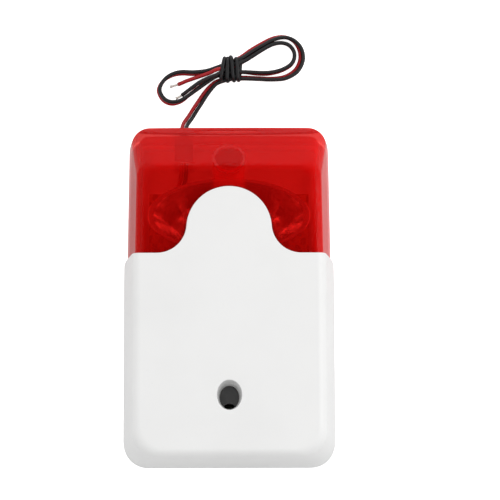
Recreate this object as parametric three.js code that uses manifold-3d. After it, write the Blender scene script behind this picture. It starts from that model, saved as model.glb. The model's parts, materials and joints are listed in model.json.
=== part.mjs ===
// An indoor alarm siren with a strobe, lying on its back. It is 117 x 74 x 43 mm.
// Millimetres. +Z is the way its front faces, +Y is the lens end and +X is its right.
// The origin is the middle of the back face. The leads lie beyond the lens end, tied in a bow.

import * as THREE from 'three';
import { mergeVertices } from 'three/addons/utils/BufferGeometryUtils.js';
import Module from 'manifold-3d';

const wasm = await Module();
wasm.setup();

// ---------------------------------------------------------------- driving dimensions

const gap = 0.3; // between pieces that touch
const boreSlack = 0.6; // how much wider a hole is than the screw or pin in it

// Housing form, shared by the cover, the lens and the back plate
const bodyLength = 117;
const bodyWidth = 74;
const bodyHeight = 43;
const sideDraft = 0.118; // lean of the long sides, mm inward for each mm of height
const sideBulge = 1.15; // how far the middle of the long sides stands out of a straight lean
const endDraft = 0.03; // lean of the cover's end
const lensEndDraft = 0.01;
const lensTaper = 0.014; // how much the lens narrows towards its end, mm each side for each mm
const lensCorner = 7.5;
const coverCorner = 8.5;
const endCrown = 0.1; // how far the middle of the lens end bulges
const edgeRound = 2.6; // rounding where the sides meet the front
const slopeDrop = 17.4; // how far below the front the lens end starts to slope back
const coverProud = 1.1; // the cover stands this far off the lens
const plateInset = 1.4;

// Front cover
const coverWall = 2;
const lensLength = 47; // from the lens end to the shoulders
const tongueRise = 8.4; // from the shoulders to the centre of the tongue's round end
const tongueRadius = 14.5;
const shoulderRadius = 10; // hollow between shoulder and tongue
const coverPostInset = 11; // from the side
const coverPostFromEnd = 10.5;
const coverPostRadius = 3.2;

// Sound hole
const soundHoleFromEnd = 21.7;
const soundHoleWidth = 8.4;
const soundHoleLength = 10.1;
const nozzleWall = 1.5;
const nozzleDepth = 9; // from the front face to the nozzle's inner end
const nozzleTaper = 0.9; // how much narrower each side of the hole is at that end

// Lens
const lapWall = 1.4;
const lapLength = 5;
const lensPostFromEnd = 14;
const lensPostRadius = 5.4;

// Back plate
const plateThickness = 3;
const rimHeight = 5;
const rimWall = 1.4;
const keyholeX = 14;
const keyholeY = 18;
const keyholeHead = 5.6;
const keyholeSlot = 3.2;
const keyholeTravel = 8;

// Screws: shank diameter, head diameter, head height
const caseScrew = { shank: 2.5, head: 5.2, rise: 1.3, length: 13 };
const boardScrew = { shank: 1.9, head: 3.8, rise: 1.4, length: 7 };
const sounderScrew = { shank: 1.9, head: 3.8, rise: 1.4, length: 7 };
const reflectorScrew = { shank: 1.7, head: 3.4, rise: 1.2, length: 8 };

// Circuit board
const boardInset = 9; // from the housing's side
const boardClear = 1; // to the sounder
const boardPostClear = 1.8; // to the lens post
const boardThickness = 1.6;
const boardLift = 6; // above the plate's inner face
const boardPostRadius = 3;
const boardPostInset = 4;
const tallRowInset = 10.5; // from the board's lower edge to the row of tall parts

// Reflector and flash tube
const reflectorInset = 11.3; // from the housing's side
const reflectorHalfLength = 11.9;
const reflectorClear = 0.25; // to the lens post
const reflectorHeadroom = 2.9; // between the rim and the lens
const reflectorDepth = 18.4;
const reflectorWall = 1.1;
const reflectorLip = 1;
const reflectorFloor = 0.45; // share of the rim's half width at the bowl's floor
const reflectorPostX = 20.5;
const reflectorPostRadius = 2;
const tubeDiameter = 4.2;
const tubeBore = 2.8;
const tubeLength = 23;
const tubeClear = 2; // between the tube and the bowl's floor
const tubeCapDiameter = 4.8;
const tubeCapLength = 3;
const tubePin = 1;

// Sounder
const sounderWall = 1.6;
const sounderEndClear = 0.6; // to the plate's rim
const sounderBackThickness = 2.4;
const sounderEarReach = 3.5; // from the housing to the screw
const sounderEarRadius = 3.4;
const sounderEarThickness = 2.4;
const sounderPort = 5;
const sounderPortOffset = 4.6; // the port sits lower than the sound hole
const sounderLedge = 3; // height of the ring that carries the disc
const discDiameter = 35;
const discClear = 1.4; // round the disc
const discThickness = 0.4;
const ceramicDiameter = 25;
const ceramicThickness = 0.4;
const gasketHeight = 1;
const gasketWidth = 2.2;

// Leads
const leadDiameter = 1.4;
const leadX = -16;
const leadRise = 0.4; // of the leads over the plate's inner face, in the grommet
const grommetWidth = 6.4;
const grommetSink = 1.5; // below the plate's inner face
const grommetRise = 2.4; // above it
const leadPitch = leadDiameter + gap; // between the middles of the two conductors
const pairLift = 1.5; // in the bow the black conductor lies this far above the red one
const pairStep = 0.8; // and this far beside it
const tipDiameter = 0.9;

// ---------------------------------------------------------------- worked-out sizes

const lensEndY = bodyLength / 2;
const coverEndY = -bodyLength / 2;
const shellLow = plateThickness + gap;
const shoulderY = lensEndY - lensLength;
const tongueY = shoulderY + tongueRise;
const coverPostX = bodyWidth / 2 - coverPostInset;
const coverPostY = coverEndY + coverPostFromEnd;
const soundHoleY = coverEndY + soundHoleFromEnd;
const lensPostY = lensEndY - lensPostFromEnd;
const waistY = shoulderY - lapLength; // where the sides start to taper
const slopeFoot = bodyHeight - slopeDrop;
const slopeReach =
  lensEndY - lensEndDraft * (slopeFoot - shellLow) + slopeFoot + coverProud * Math.SQRT2;
const lapInset = coverWall + gap;
const lensInnerInset = lapInset + lapWall;
const rimInset = lensInnerInset + gap;
const leadZ = plateThickness + leadRise;
const grommetLow = plateThickness - grommetSink;
const grommetHigh = plateThickness + grommetRise;
const boardLow = plateThickness + boardLift + gap;
const boardHigh = boardLow + boardThickness;
const boardTopFace = boardHigh + gap;
const sounderRadius = discDiameter / 2 + discClear + sounderWall;
const sounderY = coverEndY + rimInset + rimWall + sounderEndClear + sounderRadius;
const sounderEarX = sounderRadius + sounderEarReach;
const sounderPortY = soundHoleY - sounderPortOffset;
const boardWidth = bodyWidth - 2 * boardInset;
const boardBottom = sounderY + sounderRadius + boardClear;
const boardTop = lensPostY - lensPostRadius - boardPostClear;
const boardMiddleY = (boardBottom + boardTop) / 2;
const reflectorHalfWidth = bodyWidth / 2 - reflectorInset;
const reflectorReach = reflectorHalfLength + reflectorWall / 2 + reflectorLip;
const reflectorY = lensPostY - lensPostRadius - reflectorClear - reflectorReach;
const reflectorRim = bodyHeight - lensInnerInset - reflectorHeadroom;
const bowlFloor = reflectorRim - reflectorDepth;
const tubeZ = bowlFloor + tubeClear + tubeDiameter / 2;
const tubeCapX = tubeLength / 2 + gap + tubeCapLength / 2;
const nozzleEnd = bodyHeight - nozzleDepth;
const sounderBackHigh = shellLow + sounderBackThickness;
const sounderLow = sounderBackHigh + gap;
const sounderHigh = nozzleEnd - gap;
const ledgeHigh = sounderBackHigh + sounderLedge;
const gasketLow = ledgeHigh + gap;
const discLow = gasketLow + gasketHeight + gap;
const ceramicLow = discLow + discThickness + gap;

// ---------------------------------------------------------------- materials

function paint(color, roughness, metalness = 0) {
  return new THREE.MeshStandardMaterial({ color, roughness, metalness });
}

const whitePlastic = paint(0xeeeeec, 0.42);
const blackPlastic = paint(0x17171a, 0.45);
const redLens = new THREE.MeshStandardMaterial({
  color: 0xc4100c,
  roughness: 0.12,
  transparent: true,
  opacity: 0.55,
});
const chromeCoat = paint(0xd9dadc, 0.08, 1);
const clearGlass = new THREE.MeshStandardMaterial({
  color: 0xe8f0f2,
  roughness: 0.05,
  transparent: true,
  opacity: 0.35,
});
const brass = paint(0xc9a24a, 0.3, 1);
const ceramicWhite = paint(0xe6e2d6, 0.5);
const steel = paint(0xb8babd, 0.32, 1);
const tinnedCopper = paint(0xc6c2ba, 0.35, 1);
const boardLaminate = paint(0xb98a4e, 0.6);
const ferrite = paint(0x35353a, 0.55);
const windingTape = paint(0xd8b23a, 0.5);
const capacitorSleeve = paint(0x1d2a52, 0.35);
const resistorBody = paint(0xcdb48a, 0.5);
const softRubber = paint(0x222222, 0.8);
const redLead = paint(0xb3120f, 0.38);
const blackLead = paint(0x101012, 0.36);

// ---------------------------------------------------------------- solids

function solidOf(geometry) {
  const bare = geometry.index ? geometry : geometry.clone();
  bare.deleteAttribute('normal');
  bare.deleteAttribute('uv');
  const merged = mergeVertices(bare, 1e-4);
  const mesh = new wasm.Mesh({
    numProp: 3,
    vertProperties: new Float32Array(merged.attributes.position.array),
    triVerts: new Uint32Array(merged.index.array),
  });
  return new wasm.Manifold(mesh);
}

function geometryOf(solid) {
  const { vertProperties, triVerts } = solid.getMesh();
  const geometry = new THREE.BufferGeometry();
  geometry.setAttribute('position', new THREE.BufferAttribute(vertProperties, 3));
  geometry.setIndex(new THREE.BufferAttribute(triVerts, 1));
  geometry.computeVertexNormals();
  return geometry;
}

function joined(...solids) {
  return solids.reduce((whole, next) => whole.add(next));
}

function without(solid, ...cutters) {
  return cutters.reduce((whole, cutter) => whole.subtract(cutter), solid);
}

function disc(radius, low, high, { x = 0, y = 0, sides = 24, stretch = 1 } = {}) {
  const geometry = new THREE.CylinderGeometry(radius, radius, high - low, sides);
  geometry.rotateX(Math.PI / 2);
  geometry.scale(1, stretch, 1);
  geometry.translate(x, y, (low + high) / 2);
  return solidOf(geometry);
}

function rodAlongX(radius, length, { z = 0, sides = 20 } = {}) {
  const geometry = new THREE.CylinderGeometry(radius, radius, length, sides);
  geometry.rotateZ(Math.PI / 2);
  geometry.translate(0, 0, z);
  return solidOf(geometry);
}

function block(width, length, low, high, { x = 0, y = 0 } = {}) {
  const geometry = new THREE.BoxGeometry(width, length, high - low);
  geometry.translate(x, y, (low + high) / 2);
  return solidOf(geometry);
}

function ring(outer, inner, low, high, { sides = 32 } = {}) {
  return without(disc(outer, low, high, { sides }), disc(inner, low - 1, high + 1, { sides }));
}

function turned(points, sides) {
  const profile = points.map(([radius, height]) => new THREE.Vector2(radius, height));
  const geometry = new THREE.LatheGeometry(profile, sides);
  geometry.rotateX(Math.PI / 2);
  return solidOf(geometry);
}

function raised(shape, low, high) {
  const geometry = new THREE.ExtrudeGeometry(shape, {
    depth: high - low,
    bevelEnabled: false,
    curveSegments: 10,
  });
  geometry.translate(0, 0, low);
  return solidOf(geometry);
}

function loft(rings) {
  const count = rings[0].length;
  const points = rings.flat();
  const low = points.length;
  points.push(middleOf(rings[0]), middleOf(rings.at(-1)));
  const faces = [];
  for (let i = 0; i < count; i += 1) {
    const next = (i + 1) % count;
    faces.push(low, next, i);
    faces.push(low + 1, (rings.length - 1) * count + i, (rings.length - 1) * count + next);
    for (let level = 0; level < rings.length - 1; level += 1) {
      const here = level * count;
      const above = here + count;
      faces.push(here + i, here + next, above + next);
      faces.push(here + i, above + next, above + i);
    }
  }
  const geometry = new THREE.BufferGeometry().setFromPoints(points);
  geometry.setIndex(faces);
  return solidOf(geometry);
}

function middleOf(points) {
  const sum = points.reduce((total, point) => total.add(point), new THREE.Vector3());
  return sum.divideScalar(points.length);
}

// ---------------------------------------------------------------- housing form

// A form is the housing's outside drawn in by inset, with its front edge rounded.
function extentAt(z, form) {
  const into = Math.max(0, z - (bodyHeight - form.inset - form.round));
  const pull = form.round - Math.sqrt(Math.max(0, form.round ** 2 - into ** 2));
  const above = z - shellLow;
  const share = above / (bodyHeight - shellLow);
  const bulge = 4 * sideBulge * share * (1 - share);
  const wallTop = lensEndY + coverProud - form.inset - lensEndDraft * above;
  return {
    halfWidth: bodyWidth / 2 - form.inset - sideDraft * above + bulge - pull,
    bottom: coverEndY + form.inset + endDraft * above + pull,
    top: Math.min(wallTop, slopeReach - form.inset * Math.SQRT2 - z),
  };
}

function corner(x, y, radius, start, z) {
  const steps = 5;
  const points = [];
  for (let i = 0; i <= steps; i += 1) {
    const angle = start + ((Math.PI / 2) * i) / steps;
    points.push(new THREE.Vector3(x + radius * Math.cos(angle), y + radius * Math.sin(angle), z));
  }
  return points;
}

function crownedEnd(halfWidth, top, z) {
  return [0.5, 0, -0.5].map(
    (share) => new THREE.Vector3(share * halfWidth, top - endCrown * share ** 2, z),
  );
}

function sectionRing(z, form) {
  const { halfWidth, bottom, top } = extentAt(z, form);
  const low = coverCorner - form.inset;
  const high = lensCorner - form.inset;
  const highY = top - endCrown - high;
  const highX = halfWidth - lensTaper * (highY - waistY) - high;
  return [
    ...corner(halfWidth - low, bottom + low, low, -Math.PI / 2, z),
    new THREE.Vector3(halfWidth, waistY, z),
    ...corner(highX, highY, high, 0, z),
    ...crownedEnd(highX, top, z),
    ...corner(-highX, highY, high, Math.PI / 2, z),
    new THREE.Vector3(-halfWidth, waistY, z),
    ...corner(low - halfWidth, bottom + low, low, Math.PI, z),
  ];
}

function slopeStart(form) {
  const wall = lensEndY + coverProud - form.inset + lensEndDraft * shellLow;
  return (slopeReach - form.inset * Math.SQRT2 - wall) / (1 - lensEndDraft);
}

function housingForm(inset, low, high = bodyHeight - inset) {
  const form = { inset, round: edgeRound };
  const roundFoot = bodyHeight - inset - edgeRound;
  const roundHeights = [0, 0.35, 0.65, 0.87, 1].map((share) => roundFoot + edgeRound * share);
  const sideHeights = [0.25, 0.42, 0.8].map((share) => bodyHeight * share);
  const heights = [...sideHeights, slopeStart(form), ...roundHeights].filter((z) => z > low && z < high);
  heights.sort((a, b) => a - b);
  return loft([low, ...heights, high].map((z) => sectionRing(z, form)));
}

function coverOutline(grow) {
  const radius = tongueRadius + grow;
  const hollow = shoulderRadius - grow;
  const reach = radius + hollow;
  const rise = shoulderY + shoulderRadius - tongueY;
  const hollowX = Math.sqrt(reach ** 2 - rise ** 2);
  const lean = Math.atan2(rise, hollowX);
  const side = bodyWidth;
  const shape = new THREE.Shape();
  shape.moveTo(-side, -bodyLength);
  shape.lineTo(side, -bodyLength);
  shape.lineTo(side, shoulderY + grow);
  shape.absarc(hollowX, tongueY + rise, hollow, -Math.PI / 2, -Math.PI + lean, true);
  shape.absarc(0, tongueY, radius, lean, Math.PI - lean, false);
  shape.absarc(-hollowX, tongueY + rise, hollow, -lean, -Math.PI / 2, true);
  shape.lineTo(-side, shoulderY + grow);
  shape.closePath();
  return shape;
}

function leadNotch(low, high) {
  const width = grommetWidth + 2 * gap;
  const wallY = lensEndY - lensInnerInset;
  return block(width, 2 * lensCorner, low, high, { x: leadX, y: wallY });
}

// ---------------------------------------------------------------- housing pieces

function screwPost(radius, high, screw) {
  const depth = screw.rise + screw.length + 2 * gap;
  return {
    body: disc(radius, shellLow + gap, high),
    bore: disc((screw.shank + boreSlack) / 2, 0, depth, { sides: 16 }),
  };
}

function coverShell() {
  const shell = without(
    housingForm(0, shellLow),
    housingForm(coverWall, shellLow - 1),
  );
  return shell.intersect(raised(coverOutline(0), 0, bodyHeight + 1));
}

function soundHole(grow, low, high) {
  const stretch = (soundHoleLength + 2 * grow) / (soundHoleWidth + 2 * grow);
  const radius = soundHoleWidth / 2 + grow;
  const hole = disc(radius, low, high, { stretch, sides: 32 });
  return hole.translate([0, soundHoleY, 0]);
}

function taperedHole() {
  const hole = soundHole(0, nozzleEnd - 1, bodyHeight + 1);
  return hole.warp((point) => {
    const depth = (bodyHeight - point[2]) / nozzleDepth;
    const scale = 1 - (depth * nozzleTaper) / (soundHoleWidth / 2);
    point[0] *= scale;
    point[1] = soundHoleY + (point[1] - soundHoleY) * scale;
  });
}

function coverPost(side) {
  const post = screwPost(coverPostRadius, bodyHeight - coverWall / 2, caseScrew);
  const place = [side * coverPostX, coverPostY, 0];
  const inside = housingForm(coverWall / 2, 0);
  return {
    body: post.body.translate(place).intersect(inside),
    bore: post.bore.translate(place),
  };
}

function frontCover() {
  const posts = [-1, 1].map(coverPost);
  const nozzle = soundHole(nozzleWall, nozzleEnd, bodyHeight - coverWall / 2);
  const body = joined(coverShell(), nozzle, ...posts.map((post) => post.body));
  return without(body, taperedHole(), ...posts.map((post) => post.bore));
}

function lensBody() {
  const shown = without(
    housingForm(coverProud, shellLow),
    raised(coverOutline(gap), 0, bodyHeight + 1),
  );
  const lapLow = shoulderY - lapLength;
  const lapKeep = block(2 * bodyWidth, bodyLength, 0, bodyHeight, { y: lapLow + bodyLength / 2 });
  const lap = housingForm(lapInset, shellLow).intersect(lapKeep);
  const hollow = housingForm(lensInnerInset, shellLow - 1);
  return without(joined(shown, lap), hollow);
}

function lens() {
  const post = screwPost(lensPostRadius, bodyHeight, caseScrew);
  const place = [0, lensPostY, 0];
  const inside = housingForm(coverProud + lapWall / 2, 0);
  const body = joined(lensBody(), post.body.translate(place).intersect(inside));
  return without(body, post.bore.translate(place), leadNotch(0, grommetHigh + gap));
}

function keyhole(x) {
  const head = disc(keyholeHead / 2, -1, plateThickness + 1, { x, y: keyholeY, sides: 24 });
  const slotEnd = keyholeY + keyholeTravel;
  const end = disc(keyholeSlot / 2, -1, plateThickness + 1, { x, y: slotEnd, sides: 16 });
  const middle = keyholeY + keyholeTravel / 2;
  const slot = block(keyholeSlot, keyholeTravel, -1, plateThickness + 1, { x, y: middle });
  return joined(head, end, slot);
}

function caseScrewPlaces() {
  return [
    ['top', 0, lensPostY],
    ['left', -coverPostX, coverPostY],
    ['right', coverPostX, coverPostY],
  ];
}

function caseScrewHole([, x, y]) {
  const sink = caseScrew.rise + gap;
  const head = disc(caseScrew.head / 2 + gap, -1, sink, { x, y });
  return joined(head, disc((caseScrew.shank + boreSlack) / 2, 0, plateThickness + 1, { x, y }));
}

function boardPosts() {
  const x = boardWidth / 2 - boardPostInset;
  const lowY = boardBottom + boardPostInset;
  const highY = boardTop - boardPostInset;
  return [
    ['lower_left', -x, lowY],
    ['lower_right', x, lowY],
    ['upper_left', -x, highY],
    ['upper_right', x, highY],
  ];
}

function boardPost([, x, y]) {
  return disc(boardPostRadius, plateThickness / 2, boardLow - gap, { x, y });
}

function pilotHole(screw, x, y, low, high) {
  return disc((screw.shank + boreSlack) / 2, low, high, { x, y, sides: 12 });
}

function basePlate() {
  const slab = housingForm(plateInset, 0, plateThickness);
  const rimHigh = plateThickness + rimHeight;
  const rim = without(
    housingForm(rimInset, plateThickness / 2, rimHigh),
    housingForm(rimInset + rimWall, 0, rimHigh + 1),
  );
  const floor = plateThickness / 2;
  const pilots = boardPosts().map(([, x, y]) => pilotHole(boardScrew, x, y, floor, boardLow));
  const ears = [-1, 1].map((side) =>
    pilotHole(sounderScrew, side * sounderEarX, sounderY, floor / 2, plateThickness + 1),
  );
  return without(
    joined(slab, rim, ...boardPosts().map(boardPost)),
    ...pilots,
    ...ears,
    ...caseScrewPlaces().map(caseScrewHole),
    keyhole(-keyholeX),
    keyhole(keyholeX),
    leadNotch(grommetLow - gap, bodyHeight),
  );
}

// A pan-head screw whose head sits above z = 0 and whose shank hangs down from it.
function screwSolid(screw) {
  const head = disc(screw.head / 2, 0, screw.rise, { sides: 16 });
  const shank = disc(screw.shank / 2, -screw.length, screw.rise / 2, { sides: 12 });
  const slot = screw.head / 4;
  const long = block(2 * slot, slot / 2, screw.rise / 2, screw.rise + 1);
  const cross = block(slot / 2, 2 * slot, screw.rise / 2, screw.rise + 1);
  return without(joined(head, shank), long, cross);
}

// ---------------------------------------------------------------- strobe pieces

function bowlProfile(out, high) {
  const steps = 6;
  const floor = bowlFloor - out;
  const points = [[0, floor]];
  for (let i = 0; i <= steps; i += 1) {
    const t = i / steps;
    const radius = reflectorHalfWidth * (reflectorFloor + (1 - reflectorFloor) * Math.sqrt(t));
    points.push([radius + out, floor + (reflectorRim - floor) * t]);
  }
  points.push([reflectorHalfWidth + out, high], [0, high]);
  return points;
}

function bowl(out, high) {
  const squash = reflectorHalfLength / reflectorHalfWidth;
  return turned(bowlProfile(out, high), 40).scale([1, squash, 1]);
}

function reflectorLipRing() {
  const outer = reflectorHalfWidth + reflectorWall + reflectorLip;
  const low = reflectorRim - reflectorWall;
  return disc(outer, low, reflectorRim, { stretch: reflectorReach / outer, sides: 40 });
}

function reflectorPost(side) {
  const x = side * reflectorPostX;
  return disc(reflectorPostRadius, boardTopFace, (bowlFloor + reflectorRim) / 2, { x, sides: 16 });
}

function reflector() {
  const pins = [-1, 1].map((side) =>
    disc((tubePin + boreSlack) / 2, 0, bowlFloor + tubeClear, { x: side * tubeCapX, sides: 12 }),
  );
  const pilots = [-1, 1].map((side) =>
    pilotHole(reflectorScrew, side * reflectorPostX, 0, 0, boardLow + reflectorScrew.length + gap),
  );
  const body = joined(bowl(reflectorWall, reflectorRim), reflectorLipRing(), ...[-1, 1].map(reflectorPost));
  return without(body, bowl(0, reflectorRim + 1), ...pins, ...pilots);
}

function flashTube() {
  return without(
    rodAlongX(tubeDiameter / 2, tubeLength),
    rodAlongX(tubeBore / 2, tubeLength + 1, { sides: 16 }),
  );
}

function tubeCap() {
  const pinDrop = tubeZ - boardTopFace;
  return joined(
    rodAlongX(tubeCapDiameter / 2, tubeCapLength),
    disc(tubePin / 2, -pinDrop, 0, { sides: 10 }),
  );
}

// ---------------------------------------------------------------- circuit board pieces

function circuitBoard() {
  const board = block(boardWidth, boardTop - boardBottom, boardLow, boardHigh, { y: boardMiddleY });
  const holes = boardPosts().map(([, x, y]) => pilotHole(boardScrew, x, y, 0, bodyHeight));
  const lower = [-1, 1].map((side) =>
    pilotHole(reflectorScrew, side * reflectorPostX, reflectorY, 0, bodyHeight),
  );
  return without(board, ...holes, ...lower);
}

function upright(radius, height, sides = 24) {
  return disc(radius, 0, height, { sides });
}

function capacitorCan(radius, height) {
  const groove = 0.4;
  const top = ring(radius - groove, radius - 2 * groove, height - groove, height + 1, { sides: 24 });
  return without(upright(radius, height), top);
}

function transformerCore(width, length, height) {
  const yoke = height / 5;
  const window = block(width / 2, length + 1, yoke, height - yoke);
  return without(block(width, length, 0, height), window);
}

function axialPart(radius, length) {
  const leg = radius / 4;
  const reach = length / 2 + 2 * radius;
  const body = rodAlongX(radius, length, { z: radius + leg, sides: 12 });
  const wire = rodAlongX(leg, 2 * reach, { z: radius + leg, sides: 8 });
  const feet = [-1, 1].map((side) => disc(leg, 0, radius + leg, { x: side * (reach - leg), sides: 8 }));
  return joined(body, wire, ...feet);
}

function chipBody(width, length, height) {
  const pins = [];
  for (const side of [-1, 1]) {
    for (let i = 0; i < 4; i += 1) {
      const x = (i - 1.5) * (width / 4);
      pins.push(block(width / 12, height / 3, 0, height / 2, { x, y: side * (length / 2) }));
    }
  }
  const notch = disc(length / 8, height - height / 6, height + 1, { x: -width / 2, sides: 12 });
  return without(joined(block(width, length, height / 6, height), ...pins), notch);
}

function powerTransistor(width, depth, height) {
  const legs = [-1, 0, 1].map((i) => block(width / 10, depth / 3, 0, height / 2, { x: (i * width) / 3.4 }));
  const hole = new THREE.CylinderGeometry(width / 5, width / 5, 2 * depth, 12);
  hole.translate(0, 0, height - width / 3);
  const body = without(block(width, depth, height / 4, height), solidOf(hole));
  return joined(body, ...legs);
}

function chokeCoil(radius, height) {
  const flange = height / 6;
  const coil = upright(radius - flange / 2, height);
  return joined(coil, upright(radius, flange), disc(radius, height - flange, height));
}

// ---------------------------------------------------------------- sounder pieces

function sounderEar(low) {
  return [-1, 1].map((side) =>
    joined(
      disc(sounderEarRadius, low, low + sounderEarThickness, { x: side * sounderEarX }),
      block(2 * sounderEarRadius, 2 * sounderEarRadius, low, low + sounderEarThickness, {
        x: side * (sounderEarX - sounderEarRadius),
      }),
    ),
  );
}

function sounderScrewHoles() {
  return [-1, 1].map((side) => pilotHole(sounderScrew, side * sounderEarX, 0, 0, bodyHeight));
}

function sounderHousing() {
  const inner = sounderRadius - sounderWall;
  const cup = without(
    joined(disc(sounderRadius, sounderLow, sounderHigh, { sides: 40 }), ...sounderEar(sounderLow)),
    disc(inner, 0, sounderHigh - sounderWall, { sides: 40 }),
  );
  const port = disc(sounderPort / 2, 0, bodyHeight, { y: sounderPortY - sounderY, sides: 24 });
  return without(cup, port, ...sounderScrewHoles());
}

function sounderBack() {
  const outer = sounderRadius;
  const ledgeOuter = discDiameter / 2;
  const body = joined(
    disc(outer, shellLow, sounderBackHigh, { sides: 40 }),
    ring(ledgeOuter, ledgeOuter - gasketWidth, sounderBackHigh - 1, ledgeHigh),
    ...sounderEar(shellLow),
  );
  return without(body, ...sounderScrewHoles());
}

function gasket() {
  const outer = discDiameter / 2;
  return ring(outer, outer - gasketWidth, gasketLow, gasketLow + gasketHeight);
}

// ---------------------------------------------------------------- leads

// Every route below gives x, y beyond the housing's lens end, and z. A tie of soft wire wound
// round the middle of the bow holds two passes of its right loop and one of its left.

// Middle line of the pair of leads, from the grommet to the tie.
const leadRun = [
  [leadX, 0.6, leadZ],
  [leadX, 3.1, 3.0],
  [-15.5, 5.8, 1.7],
  [-13.7, 8.7, 0.8],
  [-11.9, 11.6, 0.8],
  [-10.2, 14.2, 0.8],
  [-8.2, 17.2, 0.8],
  [-6.1, 19.7, 0.8],
  [-3.9, 21.4, 0.8],
];

// Middle line of the pair in the left loop of the bow, from the tie round and back.
const leftLoop = [
  [-3.9, 26.5, 0.8],
  [-7.8, 25.2, 0.8],
  [-12.4, 24.7, 0.8],
  [-17.1, 24.8, 0.8],
  [-20.6, 23.9, 0.8],
  [-23.4, 21.8, 0.8],
  [-24.9, 18.5, 0.8],
  [-23.4, 15.2, 0.8],
  [-20.6, 13.8, 0.8],
  [-17.3, 14.4, 0.8],
  [-14.3, 16.5, 0.8],
  [-11.3, 18.8, 0.8],
  [-8.3, 21.0, 0.8],
  [-6.0, 22.6, 0.8],
  [-3.9, 23.7, 0.8],
];

const redEnd = [
  [-3.9, 25.5, 3.9],
  [-6.8, 24.3, 3.3],
  [-10.6, 23.1, 2.6],
  [-14.9, 21.8, 1.7],
  [-16.6, 21.2, 1.1],
  [-18.2, 20.6, 0.8],
];

const blackEnd = [
  [-3.9, 23.7, 3.9],
  [-7.2, 22.4, 3.8],
  [-10.4, 20.8, 3.7],
  [-13.0, 19.0, 3.3],
  [-15.2, 17.5, 2.5],
  [-16.8, 16.4, 1.9],
];

const redTip = [
  [-18.6, 20.45, 0.8],
  [-19.8, 20.1, 0.7],
  [-21.0, 19.8, 0.6],
];

const blackTip = [
  [-17.1, 16.2, 2.0],
  [-18.0, 15.7, 1.9],
  [-18.9, 15.3, 1.8],
];

const innerRun = [
  [leadX, -8.7, leadZ],
  [leadX, -12.5, leadZ + 0.5],
  [-16.6, -16.5, leadZ + 3.1],
  [-17.5, -19.9, boardHigh + 0.5],
  [-18.5, -23.7, boardHigh + 2.3],
  [-18.8, -25.9, boardHigh + 1.5],
];

const tieMiddle = [0.9, 25.8, 2.55];
const tieHalfWidth = 4.3;
const tieHalfLength = 5.2;
const tieHalfHeight = 2.5;
const bowLow = [13.9, 30.0];
const bowHigh = [19.1, 30.9];
const bowRadius = 8.1;
const bowHeight = 3.2;

function curveThrough(points) {
  return new THREE.CatmullRomCurve3(points.map((point) => new THREE.Vector3(...point)));
}

// The line beside a route, offset in plan and lifted.
function besideRoute(points, offset, lift = 0) {
  const curve = curveThrough(points);
  return points.map((point, i) => {
    const along = curve.getTangent(i / (points.length - 1));
    const length = Math.hypot(along.x, along.y);
    const [x, y, z] = point;
    return [x - (along.y / length) * offset, y + (along.x / length) * offset, z + lift];
  });
}

function tube(points, diameter, sides = 8) {
  const curve = curveThrough(points);
  const steps = Math.max(2, Math.round(curve.getLength() / (2.4 * diameter)));
  const section = new THREE.Shape();
  section.absarc(0, 0, diameter / 2, 0, 2 * Math.PI, false);
  const geometry = new THREE.ExtrudeGeometry(section, {
    steps,
    bevelEnabled: false,
    extrudePath: curve,
    curveSegments: sides,
  });
  return solidOf(geometry);
}

function tieBundle() {
  const geometry = new THREE.CylinderGeometry(1, 1, 2 * tieHalfWidth, 20);
  geometry.rotateZ(Math.PI / 2);
  geometry.scale(1, tieHalfLength, tieHalfHeight);
  return solidOf(geometry);
}

function rightLoop() {
  const lean = Math.atan2(bowHigh[1] - bowLow[1], bowHigh[0] - bowLow[0]);
  const shape = new THREE.Shape();
  shape.absarc(...bowHigh, bowRadius, lean - Math.PI / 2, lean + Math.PI / 2, false);
  shape.absarc(...bowLow, bowRadius, lean + Math.PI / 2, lean + (3 * Math.PI) / 2, false);
  shape.closePath();
  return raised(shape, 0.1, bowHeight);
}

function grommet() {
  const low = lensEndY - lensInnerInset - 4;
  const high = lensEndY - gap;
  const middle = (low + high) / 2;
  const body = block(grommetWidth, high - low, grommetLow, grommetHigh, { x: leadX, y: middle });
  const holes = [-1, 1].map((side) => {
    const geometry = new THREE.CylinderGeometry(leadDiameter / 2 + gap, leadDiameter / 2 + gap, 40, 12);
    geometry.translate(leadX + (side * leadPitch) / 2, middle, leadZ);
    return solidOf(geometry);
  });
  return without(body, joined(...holes));
}

// ---------------------------------------------------------------- assembly

const siren = new THREE.Group();

function add(parent, name, solid, material, position = [0, 0, 0], rotation = [0, 0, 0]) {
  const mesh = new THREE.Mesh(geometryOf(solid), material);
  mesh.name = name;
  mesh.position.set(...position);
  mesh.rotation.set(...rotation);
  parent.add(mesh);
}

function addHousing() {
  add(siren, 'base_plate', basePlate(), whitePlastic);
  add(siren, 'front_cover', frontCover(), whitePlastic);
  add(siren, 'lens', lens(), redLens);
  for (const [label, x, y] of caseScrewPlaces()) {
    const headFace = caseScrew.rise + gap / 2;
    add(siren, `case_screw_${label}`, screwSolid(caseScrew), steel, [x, y, headFace], [Math.PI, 0, 0]);
  }
}

function addStrobe() {
  const strobe = new THREE.Group();
  strobe.position.set(0, reflectorY, 0);
  siren.add(strobe);
  add(strobe, 'reflector', reflector(), chromeCoat);
  add(strobe, 'flash_tube', flashTube(), clearGlass, [0, 0, tubeZ]);
  for (const [label, side] of [['left', -1], ['right', 1]]) {
    add(strobe, `flash_tube_cap_${label}`, tubeCap(), tinnedCopper, [side * tubeCapX, 0, tubeZ]);
    const under = [side * reflectorPostX, 0, boardLow - gap];
    add(strobe, `reflector_screw_${label}`, screwSolid(reflectorScrew), steel, under, [Math.PI, 0, 0]);
  }
}

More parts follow.
